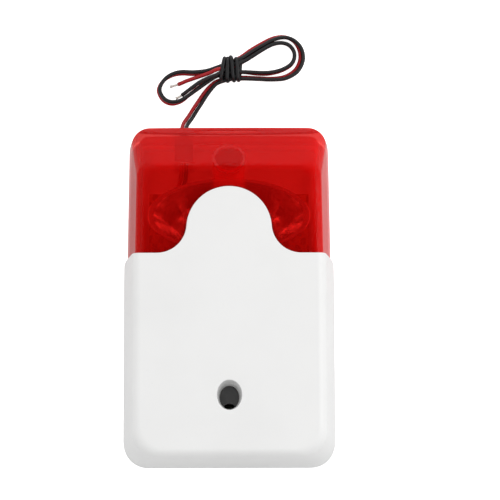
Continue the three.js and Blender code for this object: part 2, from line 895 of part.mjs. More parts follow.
function addBoard() {
  add(siren, 'circuit_board', circuitBoard(), boardLaminate);
  for (const [label, x, y] of boardPosts()) {
    add(siren, `board_screw_${label}`, screwSolid(boardScrew), steel, [x, y, boardTopFace]);
  }
  const parts = new THREE.Group();
  parts.position.set(0, 0, boardTopFace);
  siren.add(parts);
  addTallParts(parts);
  addLowParts(parts);
}

function addTallParts(parts) {
  const core = { width: 15, length: 11, height: 13 };
  const transistor = { width: 7.6, depth: 2.8, height: 10.5 };
  const yoke = core.height / 5;
  const wound = block(core.width / 2 - 2 * gap, core.length + 3, yoke + gap, core.height - yoke - gap);
  const rowY = boardBottom + tallRowInset;
  const coreSolid = transformerCore(core.width, core.length, core.height);
  add(parts, 'transformer_core', coreSolid, ferrite, [-13.8, rowY, 0]);
  add(parts, 'transformer_winding', wound, windingTape, [-13.8, rowY, 0]);
  add(parts, 'flash_capacitor', capacitorCan(5, 17), capacitorSleeve, [15.5, rowY + 1.5, 0]);
  add(parts, 'filter_capacitor', capacitorCan(4, 11), capacitorSleeve, [3, rowY - 5, 0]);
  add(parts, 'siren_choke', chokeCoil(3.9, 9), ferrite, [2.5, rowY + 4, 0]);
  const upright90 = [0, 0, Math.PI / 2];
  const edgeX = boardWidth / 2 - transistor.depth;
  for (const [name, side] of [['siren_transistor', 1], ['strobe_transistor', -1]]) {
    const solid = powerTransistor(transistor.width, transistor.depth, transistor.height);
    add(parts, name, solid, blackPlastic, [side * edgeX, rowY + 3, 0], upright90);
  }
}

function addLowParts(parts) {
  const axial = [
    ['resistor_1', -10, boardTop - 3.1, resistorBody],
    ['resistor_2', 10, boardTop - 3.1, resistorBody],
    ['resistor_3', -12, reflectorY - 11, resistorBody],
    ['resistor_4', 12, reflectorY - 11, resistorBody],
    ['strobe_diode', -12, reflectorY - 7, blackPlastic],
    ['supply_diode', 12, reflectorY - 7, blackPlastic],
  ];
  for (const [name, x, y, material] of axial) {
    add(parts, name, axialPart(1.1, 6), material, [x, y, 0]);
  }
  add(parts, 'control_chip', chipBody(9, 6.2, 3.3), blackPlastic, [0, reflectorY - 9.2, 0]);
  const triggerRadius = 2.3;
  const trigger = rodAlongX(triggerRadius, 8, { z: triggerRadius });
  add(parts, 'trigger_coil', trigger, windingTape, [0, reflectorY, 0]);
}

function addSounder() {
  const sounder = new THREE.Group();
  sounder.position.set(0, sounderY, 0);
  siren.add(sounder);
  add(sounder, 'sounder_housing', sounderHousing(), blackPlastic);
  add(sounder, 'sounder_back', sounderBack(), blackPlastic);
  add(sounder, 'sounder_gasket', gasket(), softRubber);
  add(sounder, 'piezo_disc', upright(discDiameter / 2, discThickness, 40), brass, [0, 0, discLow]);
  const ceramic = upright(ceramicDiameter / 2, ceramicThickness, 32);
  add(sounder, 'piezo_ceramic', ceramic, ceramicWhite, [0, 0, ceramicLow]);
  const head = sounderLow + sounderEarThickness + gap;
  for (const [label, side] of [['left', -1], ['right', 1]]) {
    add(sounder, `sounder_screw_${label}`, screwSolid(sounderScrew), steel, [side * sounderEarX, 0, head]);
  }
}

function addLeads() {
  add(siren, 'lead_grommet', grommet(), softRubber);
  const leads = new THREE.Group();
  leads.position.set(0, lensEndY, 0);
  siren.add(leads);
  for (const [colour, side, material] of [['red', 1, redLead], ['black', -1, blackLead]]) {
    const offset = (side * leadPitch) / 2;
    add(leads, `lead_${colour}_inner`, tube(besideRoute(innerRun, -offset), leadDiameter), material);
    add(leads, `lead_${colour}_run`, tube(besideRoute(leadRun, offset), leadDiameter), material);
    const loop = besideRoute(leftLoop, (side * pairStep) / 2, side > 0 ? 0 : pairLift);
    add(leads, `lead_${colour}_loop`, tube(loop, leadDiameter), material);
  }
  add(leads, 'lead_tie', tieBundle(), blackLead, tieMiddle);
  add(leads, 'lead_bow', rightLoop(), blackLead);
  add(leads, 'lead_red_end', tube(redEnd, leadDiameter), redLead);
  add(leads, 'lead_black_end', tube(blackEnd, leadDiameter), blackLead);
  add(leads, 'lead_red_tip', tube(redTip, tipDiameter), tinnedCopper);
  add(leads, 'lead_black_tip', tube(blackTip, tipDiameter), tinnedCopper);
}

addHousing();
addStrobe();
addBoard();
addSounder();
addLeads();

export default siren;
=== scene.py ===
"""The looks of an indoor alarm siren with a strobe lens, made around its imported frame.

Each sub-assembly is a class that builds its meshes and dresses them. All lengths are metres in the frame's
own axes: +Z is the way the front faces and +Y is the lens end.
"""

import json
import logging
import math
from collections.abc import Mapping, Sequence
from dataclasses import dataclass, field
from enum import Enum
from typing import Any

import bmesh
import bpy
from mathutils import Matrix, Quaternion, Vector

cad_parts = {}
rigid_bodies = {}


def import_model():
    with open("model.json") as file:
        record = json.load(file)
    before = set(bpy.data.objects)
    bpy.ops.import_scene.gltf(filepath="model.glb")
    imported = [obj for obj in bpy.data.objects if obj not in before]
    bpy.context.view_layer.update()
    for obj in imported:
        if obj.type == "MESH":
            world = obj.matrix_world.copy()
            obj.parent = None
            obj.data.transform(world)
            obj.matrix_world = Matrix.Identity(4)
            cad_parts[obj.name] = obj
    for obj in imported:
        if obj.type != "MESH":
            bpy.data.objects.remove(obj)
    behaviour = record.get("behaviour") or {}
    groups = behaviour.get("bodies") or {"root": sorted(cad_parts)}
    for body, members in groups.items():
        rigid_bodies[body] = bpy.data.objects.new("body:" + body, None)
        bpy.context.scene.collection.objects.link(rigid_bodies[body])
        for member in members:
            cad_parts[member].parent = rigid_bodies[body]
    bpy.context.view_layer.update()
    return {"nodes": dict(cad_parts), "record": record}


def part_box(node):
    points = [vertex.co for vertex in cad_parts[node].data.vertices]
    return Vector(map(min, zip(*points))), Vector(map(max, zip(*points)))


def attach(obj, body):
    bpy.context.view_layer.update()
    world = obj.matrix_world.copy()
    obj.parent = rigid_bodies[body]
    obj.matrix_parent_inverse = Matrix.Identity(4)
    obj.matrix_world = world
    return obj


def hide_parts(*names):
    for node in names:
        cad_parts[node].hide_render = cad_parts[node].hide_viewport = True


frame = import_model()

MM = 0.001
GAP = 0.3 * MM
SEED = 7
POST_SHIFT = 0.4 * MM
CASE_SCREWS = ("case_screw_top", "case_screw_left", "case_screw_right")
BOARD_SCREWS = tuple(f"board_screw_{row}_{side}" for row in ("lower", "upper") for side in ("left", "right"))
SOUNDER_SCREWS = ("sounder_screw_left", "sounder_screw_right")
REFLECTOR_SCREWS = ("reflector_screw_left", "reflector_screw_right")

logging.basicConfig(level=logging.INFO, format="%(name)s: %(message)s")
log = logging.getLogger("siren")

Triple = tuple[float, float, float]
RoutePoint = tuple[float, float, float, float]
Profile = list[tuple[float, float]]


class Body(Enum):
    """The rigid bodies of the frame that pieces ride on."""

    BASE = "base"
    LENS = "lens_body"
    COVER = "cover_body"
    DIAPHRAGM = "diaphragm"


class Cut(Enum):
    """The ways of joining or cutting two solids."""

    JOIN = "UNION"
    REMOVE = "DIFFERENCE"
    KEEP = "INTERSECT"


# ---------------------------------------------------------------- shader sums


class Field:
    """A shader socket that takes part in Python sums."""

    def __init__(self, tree: "Tree", socket: bpy.types.NodeSocket) -> None:
        """Wraps one output socket of a tree."""
        self.tree = tree
        self.socket = socket

    def _sum(self, operation: str, first: Any, second: Any) -> "Field":
        """Adds a Math node for one operation on two values."""
        node = self.tree.node("ShaderNodeMath", {"operation": operation}, {0: first, 1: second})
        return Field(self.tree, node.outputs[0])

    def __add__(self, other: Any) -> "Field":
        """self + other."""
        return self._sum("ADD", self, other)

    def __radd__(self, other: Any) -> "Field":
        """other + self."""
        return self._sum("ADD", other, self)

    def __sub__(self, other: Any) -> "Field":
        """self - other."""
        return self._sum("SUBTRACT", self, other)

    def __rsub__(self, other: Any) -> "Field":
        """other - self."""
        return self._sum("SUBTRACT", other, self)

    def __mul__(self, other: Any) -> "Field":
        """self * other."""
        return self._sum("MULTIPLY", self, other)

    def __rmul__(self, other: Any) -> "Field":
        """other * self."""
        return self._sum("MULTIPLY", other, self)

    def __truediv__(self, other: Any) -> "Field":
        """self / other."""
        return self._sum("DIVIDE", self, other)

    def __pow__(self, other: Any) -> "Field":
        """self ** other."""
        return self._sum("POWER", self, other)

    def __gt__(self, other: Any) -> "Field":
        """1 where self is above other, else 0."""
        return self._sum("GREATER_THAN", self, other)

    def sine(self) -> "Field":
        """The sine of self."""
        return self._sum("SINE", self, 0.0)

    def size(self) -> "Field":
        """The value of self without its sign."""
        return self._sum("ABSOLUTE", self, 0.0)

    def ramp(self, low: float, high: float) -> "Field":
        """0 below low and 1 above high, with a smooth step between.

        Args:
            low: The value at which the step starts.
            high: The value at which it ends.

        Returns:
            The stepped field.
        """
        settings = {"interpolation_type": "SMOOTHSTEP"}
        inputs = {"Value": self, "From Min": low, "From Max": high, "To Min": 0.0, "To Max": 1.0}
        node = self.tree.node("ShaderNodeMapRange", settings, inputs)
        return Field(self.tree, node.outputs[0])


class Tree:
    """A node tree and the one way of adding nodes to it."""

    def __init__(self, tree: bpy.types.NodeTree) -> None:
        """Empties the tree."""
        self.nodes = tree.nodes
        self.links = tree.links
        self.nodes.clear()

    def node(
        self,
        kind: str,
        settings: Mapping[str, Any] | None = None,
        inputs: Mapping[str | int, Any] | None = None,
    ) -> bpy.types.Node:
        """Adds one node, sets its settings first and then its sockets.

        Args:
            kind: The node's type.
            settings: Attributes of the node.
            inputs: Values or fields for its sockets, by name or number.

        Returns:
            The new node.
        """
        made = self.nodes.new(kind)
        for key, value in (settings or {}).items():
            setattr(made, key, value)
        for key, value in (inputs or {}).items():
            if isinstance(value, Field):
                self.links.new(value.socket, made.inputs[key])
            else:
                made.inputs[key].default_value = value
        return made

    def part(self, vector: "Field", axis: str) -> "Field":
        """One of a vector's parts, X, Y or Z."""
        return Field(self, self.node("ShaderNodeSeparateXYZ", None, {0: vector}).outputs[axis])


class Shader(Tree):
    """The node tree of one material or world, with the nodes that finishes use."""

    def __init__(self, owner: bpy.types.Material | bpy.types.World) -> None:
        """Starts an empty tree for its owner."""
        self.owner = owner
        self.owner.use_nodes = True
        super().__init__(owner.node_tree)

    @classmethod
    def of(cls, name: str) -> "Shader":
        """The tree of a new material of that name."""
        return cls(bpy.data.materials.new(name))

    def place(self) -> Field:
        """The object coordinates of the surface."""
        return Field(self, self.node("ShaderNodeTexCoord").outputs["Object"])

    def stretched(self, scale: Triple, turn: Triple = (0.0, 0.0, 0.0)) -> Field:
        """Object coordinates, scaled and turned.

        Args:
            scale: The factor on each axis.
            turn: The turn about each axis, in radians.

        Returns:
            The mapped coordinates.
        """
        inputs = {"Vector": self.place(), "Scale": scale, "Rotation": turn}
        return Field(self, self.node("ShaderNodeMapping", None, inputs).outputs[0])

    def noise(
        self,
        size: float,
        detail: float = 2.0,
        rough: float = 0.5,
        where: Field | None = None,
    ) -> Field:
        """Cloudy noise from 0 to 1.

        Args:
            size: The width of one cloud, in metres.
            detail: How many finer layers it has.
            rough: How strong the finer layers are.
            where: Coordinates to read instead of the object's own.

        Returns:
            The noise value.
        """
        inputs = {
            "Vector": where or self.place(),
            "Scale": 1.0 / size,
            "Detail": detail,
            "Roughness": rough,
        }
        return Field(self, self.node("ShaderNodeTexNoise", None, inputs).outputs[0])

    def cells(self, size: float, where: Field | None = None) -> Field:
        """Distance to the nearest of many scattered points, 0 at each point."""
        inputs = {"Vector": where or self.place(), "Scale": 1.0 / size}
        return Field(self, self.node("ShaderNodeTexVoronoi", None, inputs).outputs["Distance"])

    def mix(self, low: Any, high: Any, factor: Any) -> Field:
        """A colour between low and high.

        Args:
            low: The colour where factor is 0.
            high: The colour where factor is 1.
            factor: A number or a field.

        Returns:
            The mixed colour.
        """
        settings = {"data_type": "RGBA", "clamp_factor": True}
        node = self.node("ShaderNodeMix", settings)
        for index, value in ((0, factor), (6, low), (7, high)):
            if isinstance(value, Field):
                self.links.new(value.socket, node.inputs[index])
            else:
                node.inputs[index].default_value = (*value, 1.0) if isinstance(value, tuple) else value
        return Field(self, node.outputs[2])

    def bump(self, height: Field, depth: float, under: Field | None = None) -> Field:
        """A normal bent by a height field.

        Args:
            height: Values from 0 to 1.
            depth: How many metres the step from 0 to 1 stands for.
            under: A normal to add to.

        Returns:
            The bent normal.
        """
        inputs: dict[str | int, Any] = {"Height": height, "Distance": depth, "Strength": 1.0}
        if under is not None:
            inputs["Normal"] = under
        return Field(self, self.node("ShaderNodeBump", None, inputs).outputs[0])

    def surface(self, inputs: Mapping[str | int, Any]) -> Field:
        """A Principled shader with those inputs."""
        return Field(self, self.node("ShaderNodeBsdfPrincipled", None, inputs).outputs[0])

    def finish(self, shader: Field) -> bpy.types.Material:
        """Joins a shader to the output and returns the material."""
        self.node("ShaderNodeOutputMaterial", None, {"Surface": shader})
        return self.owner


class Recipe(Tree):
    """A Geometry Nodes tree with named inputs, made into plain meshes."""

    def __init__(self, name: str) -> None:
        """Starts an empty recipe that takes and gives geometry."""
        self.group = bpy.data.node_groups.new(name, "GeometryNodeTree")
        self.group.is_modifier = True
        super().__init__(self.group)
        self.inputs: dict[str, str] = {}
        self.group.interface.new_socket("Geometry", in_out="INPUT", socket_type="NodeSocketGeometry")
        self.group.interface.new_socket("Geometry", in_out="OUTPUT", socket_type="NodeSocketGeometry")
        self.entry = self.nodes.new("NodeGroupInput")

    def given(self, name: str, kind: str) -> Field:
        """Adds a named input.

        Args:
            name: What it is called.
            kind: Float, Int, Vector, Object or Material.

        Returns:
            The input's socket.
        """
        socket = self.group.interface.new_socket(name, in_out="INPUT", socket_type=f"NodeSocket{kind}")
        self.inputs[name] = socket.identifier
        return Field(self, self.entry.outputs[name])

    def geometry(self) -> Field:
        """The geometry that the recipe is given."""
        return Field(self, self.entry.outputs["Geometry"])

    def out(self, kind: str, socket: str | int, inputs: Mapping[str | int, Any], **settings: Any) -> Field:
        """Adds a node and gives one of its outputs."""
        return Field(self, self.node(kind, settings, inputs).outputs[socket])

    def tube(self, line: Field, radius: Field, sides: int) -> Field:
        """A round wire along a curve.

        Args:
            line: The curve.
            radius: The wire's radius.
            sides: How many sides its section has.

        Returns:
            The wire's mesh.
        """
        section = self.out("GeometryNodeCurvePrimitiveCircle", 0, {"Resolution": sides, "Radius": radius})
        swept = {"Curve": line, "Profile Curve": section, "Fill Caps": True}
        return self.out("GeometryNodeCurveToMesh", 0, swept)

    def finish(self, geometry: Field) -> None:
        """Ends the recipe with real geometry and a material."""
        real = self.out("GeometryNodeRealizeInstances", 0, {0: geometry})
        finish = self.given("Finish", "Material")
        coated = self.out("GeometryNodeSetMaterial", 0, {0: real, "Material": finish})
        self.node("NodeGroupOutput", None, {0: coated})

    def made(
        self,
        name: str,
        seeds: Sequence[Sequence[float]],
        values: Mapping[str, Any],
    ) -> bpy.types.Object:
        """Runs the recipe on points and keeps the plain mesh.

        Args:
            name: The piece's name.
            seeds: The points that it is given.
            values: The named inputs.

        Returns:
            The new object.
        """
        piece = mesh_object(name, seeds, [])
        change = piece.modifiers.new("recipe", "NODES")
        change.node_group = self.group
        for key, value in values.items():
            change[self.inputs[key]] = value
        return applied(piece)


# ---------------------------------------------------------------- finishes


@dataclass(frozen=True)
class MouldedPlastic:
    """Plastic from a spark-eroded mould: fine grain, soft clouds of tone and a little dust."""

    colour: Triple
    shade: Triple
    rough: float = 0.42
    grain: float = 0.32 * MM
    grain_depth: float = 0.006 * MM
    specular: float = 0.5
    dust: float = 0.04

    def material(self, name: str) -> bpy.types.Material:
        """Builds the material under that name."""
        s = Shader.of(name)
        clouds = s.noise(28 * MM, 3.0, 0.55)
        wear = s.noise(5 * MM, 4.0, 0.6)
        grain = s.noise(self.grain, 2.0, 0.6)
        specks = 1.0 - s.cells(4.2 * MM).ramp(0.03, 0.06)
        tone = s.mix(self.colour, self.shade, clouds.ramp(0.3, 0.8))
        dusty = s.mix(tone, tuple(0.55 * c + 0.12 for c in self.colour), specks * self.dust * 4.0)
        rough = self.rough + (wear - 0.5) * 0.12 + (grain - 0.5) * 0.06
        normal = s.bump(grain, self.grain_depth, s.bump(s.noise(11 * MM, 1.0), 0.012 * MM))
        inputs = {"Base Color": dusty, "Roughness": rough, "Normal": normal, "IOR": 1.52}
        inputs["Specular IOR Level"] = self.specular
        return s.finish(s.surface(inputs))


@dataclass(frozen=True)
class TintedPolycarbonate:
    """Clear-red lens plastic: part of the light passes straight through, tinted, and the rest glows."""

    body: Triple
    deep: Triple
    tint: Triple
    cover: float = 0.14
    rough: float = 0.08
    # The radius of the post's sink mark ring with its painted shadow line, then the plane and size of the
    # painted shade line along the far edge's fold.
    ring_radius: float = 5.2 * MM
    fold_shade_tilt: tuple[float, float] = (0.988, 0.156)
    fold_shade_reach: float = 60.3 * MM
    fold_shade_length: float = 25 * MM
    fold_shade_width: float = 0.6 * MM

    def material(self, name: str) -> bpy.types.Material:
        """Builds the material under that name."""
        s = Shader.of(name)
        flow = s.noise(16 * MM, 2.0, 0.5, s.stretched((1.0, 0.45, 1.0)))
        scuffs = s.noise(0.9 * MM, 3.0, 0.65)
        edge = Field(s, s.node("ShaderNodeLayerWeight", None, {"Blend": 0.4}).outputs["Facing"])
        # The sink mark ring, the painted shade of the screw post and the painted shade line along the fold
        # darken the tone and make the lens less clear there.
        marks = self._sink_ring_and_painted_shade(s)
        dark = edge + marks * 0.75
        tone = s.mix(s.mix(self.body, self.deep, flow.ramp(0.35, 0.75) * 0.3), self.deep, dark)
        rough = self.rough + scuffs.ramp(0.52, 0.8) * 0.09 + edge * 0.1
        normal = s.bump(s.noise(12 * MM, 1.0), 0.004 * MM)
        look = {"Base Color": tone, "Roughness": rough, "Normal": normal}
        gloss = s.surface({**look, "IOR": 1.27, "Specular IOR Level": 0.4})
        clear = Field(s, s.node("ShaderNodeBsdfTransparent", None, {"Color": (*self.tint, 1.0)}).outputs[0])
        share = self.cover + edge * (0.92 - self.cover) + marks * 0.6
        mixed = s.node("ShaderNodeMixShader", None, {0: share, 1: clear, 2: gloss})
        return s.finish(Field(s, mixed.outputs[0]))

    def _sink_ring_and_painted_shade(self, s: Shader) -> Field:
        """The sink mark ring with a painted shadow line where the screw post meets the front, painted shade
        of the post's wall below it, and a painted shade line along the far edge's fold.
        """
        place = s.place()
        post = middle_of("case_screw_top")
        across, along = s.part(place, "X") - post.x, s.part(place, "Y") - (post.y + POST_SHIFT)
        height = s.part(place, "Z")
        radius = (across * across + along * along) ** 0.5
        front = height.ramp(30 * MM, 34 * MM)
        # A sink mark ring round the post, darkened as a painted shadow line of the post's wall.
        ring = 1.0 - (radius - self.ring_radius).size().ramp(0.1 * MM, 0.6 * MM)
        # Painted shade of the post's wall, seen through the lens below the ring.
        below = (0.0 - along).ramp(2.0 * MM, 4.5 * MM) * (1.0 - across.size().ramp(4.0 * MM, 6.5 * MM))
        leans, rises = self.fold_shade_tilt
        # A painted shade line along the fold at the far edge, on a tilted plane.
        level = s.part(place, "Y") * leans + height * rises - self.fold_shade_reach
        oval = ((across / self.fold_shade_length) ** 2 + (level / self.fold_shade_width) ** 2) ** 0.5
        line = 1.0 - (oval - 1.0).size().ramp(0.15, 0.6)
        return front * (ring + below * 0.35) + line * 0.9


@dataclass(frozen=True)
class Metal:
    """Plated, drawn or rolled metal with fine lines and handling marks."""

    colour: Triple
    shade: Triple
    rough: float = 0.25
    lines: Triple = (1.0, 1.0, 1.0)
    line_size: float = 0.4 * MM
    line_depth: float = 0.002 * MM

    def material(self, name: str) -> bpy.types.Material:
        """Builds the material under that name."""
        s = Shader.of(name)
        marks = s.noise(2.2 * MM, 4.0, 0.6)
        lines = s.noise(self.line_size, 3.0, 0.6, s.stretched(self.lines))
        tone = s.mix(self.colour, self.shade, marks.ramp(0.4, 0.8))
        rough = self.rough + (marks - 0.5) * 0.16 + (lines - 0.5) * 0.08
        normal = s.bump(lines, self.line_depth)
        inputs = {"Base Color": tone, "Metallic": 1.0, "Roughness": rough, "Normal": normal}
        return s.finish(s.surface(inputs))


@dataclass(frozen=True)
class LeadSheath:
    """Extruded PVC insulation: smooth, with faint rings from the die and finger dulling."""

    colour: Triple
    shade: Triple
    rough: float = 0.3

    def material(self, name: str) -> bpy.types.Material:
        """Builds the material under that name."""
        s = Shader.of(name)
        clouds = s.noise(6 * MM, 3.0, 0.6)
        fine = s.noise(0.35 * MM, 2.0, 0.5)
        tone = s.mix(self.colour, self.shade, clouds.ramp(0.35, 0.75))
        rough = self.rough + (clouds - 0.5) * 0.2
        normal = s.bump(fine, 0.004 * MM, s.bump(s.noise(2.6 * MM, 1.0), 0.02 * MM))
        inputs = {"Base Color": tone, "Roughness": rough, "Normal": normal, "IOR": 1.53}
        inputs["Specular IOR Level"] = 0.28
        return s.finish(s.surface(inputs))


@dataclass(frozen=True)
class ClearGlass:
    """Thin clear glass for the flash tube."""

    tint: Triple = (0.94, 0.97, 0.98)

    def material(self, name: str) -> bpy.types.Material:
        """Builds the material under that name."""
        s = Shader.of(name)
        rough = 0.03 + s.noise(3 * MM, 2.0).ramp(0.5, 0.9) * 0.08
        gloss = s.surface({"Base Color": (*self.tint, 1.0), "Roughness": rough, "IOR": 1.46})
        clear = Field(s, s.node("ShaderNodeBsdfTransparent", None, {"Color": (*self.tint, 1.0)}).outputs[0])
        edge = Field(s, s.node("ShaderNodeLayerWeight", None, {"Blend": 0.4}).outputs["Facing"])
        mixed = s.node("ShaderNodeMixShader", None, {0: 0.12 + edge * 0.6, 1: clear, 2: gloss})
        return s.finish(Field(s, mixed.outputs[0]))


@dataclass(frozen=True)
class Laminate:
    """Tan paper laminate with green-brown solder mask patches and a fine paper grain."""

    colour: Triple
    mask: Triple

    def material(self, name: str) -> bpy.types.Material:
        """Builds the material under that name."""
        s = Shader.of(name)
        fibre = s.noise(0.7 * MM, 4.0, 0.7, s.stretched((1.0, 3.0, 1.0)))
        across = s.part(s.place(), "X")
        along = s.part(s.place(), "Y")
        tracks = (across * 1570.0 + (along * 400.0).sine() * 1.6).sine()
        rows = (along * 1050.0 + (across * 300.0).sine() * 2.1).sine()
        traced = (tracks * rows).ramp(0.1, 0.2)
        base = s.mix(self.colour, tuple(0.7 * c for c in self.colour), fibre.ramp(0.4, 0.8))
        tone = s.mix(base, self.mask, traced)
        normal = s.bump(traced, 0.03 * MM, s.bump(fibre, 0.008 * MM))
        return s.finish(s.surface({"Base Color": tone, "Roughness": 0.5 - traced * 0.15, "Normal": normal}))


@dataclass(frozen=True)
class BandedBody:
    """A painted resistor body with colour bands, set by the along attribute from 0 to 1."""

    colour: Triple
    bands: tuple[Triple, ...]

    def material(self, name: str) -> bpy.types.Material:
        """Builds the material under that name."""
        s = Shader.of(name)
        along = Field(s, s.node("ShaderNodeAttribute", {"attribute_name": "along"}).outputs["Fac"])
        tone: Any = s.mix(self.colour, tuple(0.8 * c for c in self.colour), s.noise(1.2 * MM).ramp(0.4, 0.8))
        for i, band in enumerate(self.bands):
            middle = 0.2 + 0.17 * i + (0.08 if i == len(self.bands) - 1 else 0.0)
            tone = s.mix(tone, band, 1.0 - (along - middle).size().ramp(0.04, 0.05))
        rough = 0.35 + (s.noise(0.6 * MM) - 0.5) * 0.12
        normal = s.bump(s.noise(0.5 * MM), 0.006 * MM)
        return s.finish(s.surface({"Base Color": tone, "Roughness": rough, "Normal": normal}))


@dataclass(frozen=True)
class Palette:
    """Every finish of the siren, built once."""

    made: dict[str, bpy.types.Material] = field(default_factory=dict)

    FINISHES = {
        "white_abs": MouldedPlastic((0.79, 0.79, 0.785), (0.765, 0.765, 0.76), 0.4),
        "red_lens": TintedPolycarbonate((0.85, 0.004, 0.003), (0.42, 0.0, 0.0), (0.97, 0.37, 0.35)),
        "sounder_black": MouldedPlastic((0.04, 0.04, 0.041), (0.05, 0.05, 0.05), 0.42, dust=0.06),
        "component_black": MouldedPlastic((0.018, 0.018, 0.02), (0.03, 0.03, 0.03), 0.5, 0.2 * MM),
        "gasket_rubber": MouldedPlastic((0.022, 0.022, 0.022), (0.035, 0.034, 0.033), 0.75, specular=0.3),
        "capacitor_sleeve": MouldedPlastic((0.02, 0.035, 0.12), (0.03, 0.05, 0.17), 0.25, 0.5 * MM),
        "resistor_body": BandedBody(
            (0.58, 0.43, 0.23), ((0.12, 0.04, 0.01), (0.01, 0.01, 0.01), (0.5, 0.02, 0.01), (0.6, 0.4, 0.06))
        ),
        "piezo_white": MouldedPlastic((0.72, 0.69, 0.6), (0.62, 0.6, 0.53), 0.45, 0.2 * MM),
        "ferrite": MouldedPlastic((0.035, 0.035, 0.038), (0.06, 0.058, 0.055), 0.6, 0.15 * MM),
        "winding_tape": MouldedPlastic((0.72, 0.46, 0.05), (0.62, 0.38, 0.04), 0.3, 0.6 * MM),
        "board_laminate": Laminate((0.42, 0.26, 0.1), (0.2, 0.12, 0.03)),
        "chrome_coat": Metal(
            (0.9, 0.9, 0.9), (0.5, 0.5, 0.51), 0.17, line_size=3 * MM, line_depth=0.0006 * MM
        ),
        "screw_steel": Metal((0.62, 0.61, 0.58), (0.46, 0.45, 0.42), 0.3),
        "brass_disc": Metal((0.74, 0.53, 0.22), (0.6, 0.4, 0.14), 0.28, (1.0, 14.0, 1.0)),
        "tinned_copper": Metal((0.74, 0.71, 0.66), (0.58, 0.54, 0.48), 0.3),
        "enamelled_copper": Metal((0.62, 0.22, 0.07), (0.48, 0.15, 0.05), 0.22),
        "tube_glass": ClearGlass(),
        "red_lead": LeadSheath((0.36, 0.006, 0.01), (0.28, 0.004, 0.008)),
        "black_lead": LeadSheath((0.006, 0.006, 0.007), (0.011, 0.011, 0.012), 0.36),
    }

    def __getitem__(self, name: str) -> bpy.types.Material:
        """The material of that name, made when it is first asked for."""
        if name not in self.made:
            self.made[name] = self.FINISHES[name].material(name)
        return self.made[name]


# ---------------------------------------------------------------- meshes


def mesh_object(
    name: str,
    points: Sequence[Sequence[float]],
    faces: Sequence[Sequence[int]],
) -> bpy.types.Object:
    """Makes an object from points and faces and links it.

    Args:
        name: The piece's name.
        points: Corners, in metres.
        faces: Corner numbers of each face, turning anticlockwise seen from outside.

    Returns:
        The new object.
    """
    mesh = bpy.data.meshes.new(name)
    mesh.from_pydata([tuple(p) for p in points], [], [tuple(f) for f in faces])
    mesh.update()
    made = bpy.data.objects.new(name, mesh)
    bpy.context.scene.collection.objects.link(made)
    return made


def loft(name: str, rings: Sequence[Sequence[Sequence[float]]]) -> bpy.types.Object:
    """A closed solid through rings of equal count.

    Args:
        name: The piece's name.
        rings: Its sections, lowest first, each turning anticlockwise seen from above.

    Returns:
        The new object.
    """
    count = len(rings[0])
    points = [p for ring in rings for p in ring]
    faces: list[Sequence[int]] = [range(count - 1, -1, -1), range(len(points) - count, len(points))]
    for level in range(len(rings) - 1):
        here, above = level * count, (level + 1) * count
        for i in range(count):
            after = (i + 1) % count
            faces.append((here + i, here + after, above + after, above + i))
    return mesh_object(name, points, faces)


def lathe(
    name: str,
    profile: Profile,
    at: Sequence[float] = (0.0, 0.0, 0.0),
    steps: int = 64,
    stretch: float = 1.0,
) -> bpy.types.Object:
    """A closed solid turned about Z from a profile of radius and height that starts and ends on the axis.

    Args:
        name: The piece's name.
        profile: Radius and height of each point, lowest first on the outside.
        at: Where the axis stands.
        steps: How many turns of the section.
        stretch: The factor on Y.

    Returns:
        The new object.
    """
    x, y, z = at
    points = [(x, y, z + profile[0][1])]
    inner = profile[1:-1]
    for radius, height in inner:
        for i in range(steps):
            turn = 2 * math.pi * i / steps
            points.append((x + radius * math.cos(turn), y + stretch * radius * math.sin(turn), z + height))
    points.append((x, y, z + profile[-1][1]))
    faces: list[Sequence[int]] = []
    last = len(points) - 1
    for i in range(steps):
        after = (i + 1) % steps
        faces.append((0, 1 + after, 1 + i))
        top = 1 + (len(inner) - 1) * steps
        faces.append((last, top + i, top + after))
        for level in range(len(inner) - 1):
            here, above = 1 + level * steps, 1 + (level + 1) * steps
            faces.append((here + i, here + after, above + after, above + i))
    return mesh_object(name, points, faces)


def cylinder_profile(radius: float, low: float, high: float, round_by: float = 0.0) -> Profile:
    """The profile of a cylinder with rounded rims."""
    if round_by <= 0:
        return [(0.0, low), (radius, low), (radius, high), (0.0, high)]
    arc = [math.pi / 2 * i / 4 for i in range(5)]
    lower = [(radius - round_by * (1 - math.sin(a)), low + round_by * (1 - math.cos(a))) for a in arc]
    upper = [(radius - round_by * (1 - math.cos(a)), high - round_by * (1 - math.sin(a))) for a in arc]
    return [(0.0, low), *lower, *upper, (0.0, high)]


def block(name: str, low: Sequence[float], high: Sequence[float]) -> bpy.types.Object:
    """A box between two corners."""
    ring = [(low[0], low[1]), (high[0], low[1]), (high[0], high[1]), (low[0], high[1])]
    return loft(name, [[(x, y, z) for x, y in ring] for z in (low[2], high[2])])


def applied(made: bpy.types.Object) -> bpy.types.Object:
    """Turns an object's modifiers into its mesh and removes them."""
    graph = bpy.context.evaluated_depsgraph_get()
    mesh = bpy.data.meshes.new_from_object(made.evaluated_get(graph), depsgraph=graph)
    made.modifiers.clear()
    old = made.data
    made.data = mesh
    if old.users == 0:
        bpy.data.meshes.remove(old)
    return made


def cut(made: bpy.types.Object, how: Cut, *tools: bpy.types.Object) -> bpy.types.Object:
    """Joins, removes or keeps solids and deletes the tools.

    Args:
        made: The solid to change.
        how: What is done with each tool.
        tools: The other solids.

    Returns:
        The changed solid.
    """
    for tool in tools:
        change = made.modifiers.new("cut", "BOOLEAN")
        change.operation = how.value
        change.solver = "EXACT"
        change.object = tool
        applied(made)
        bpy.data.objects.remove(tool)
    return made


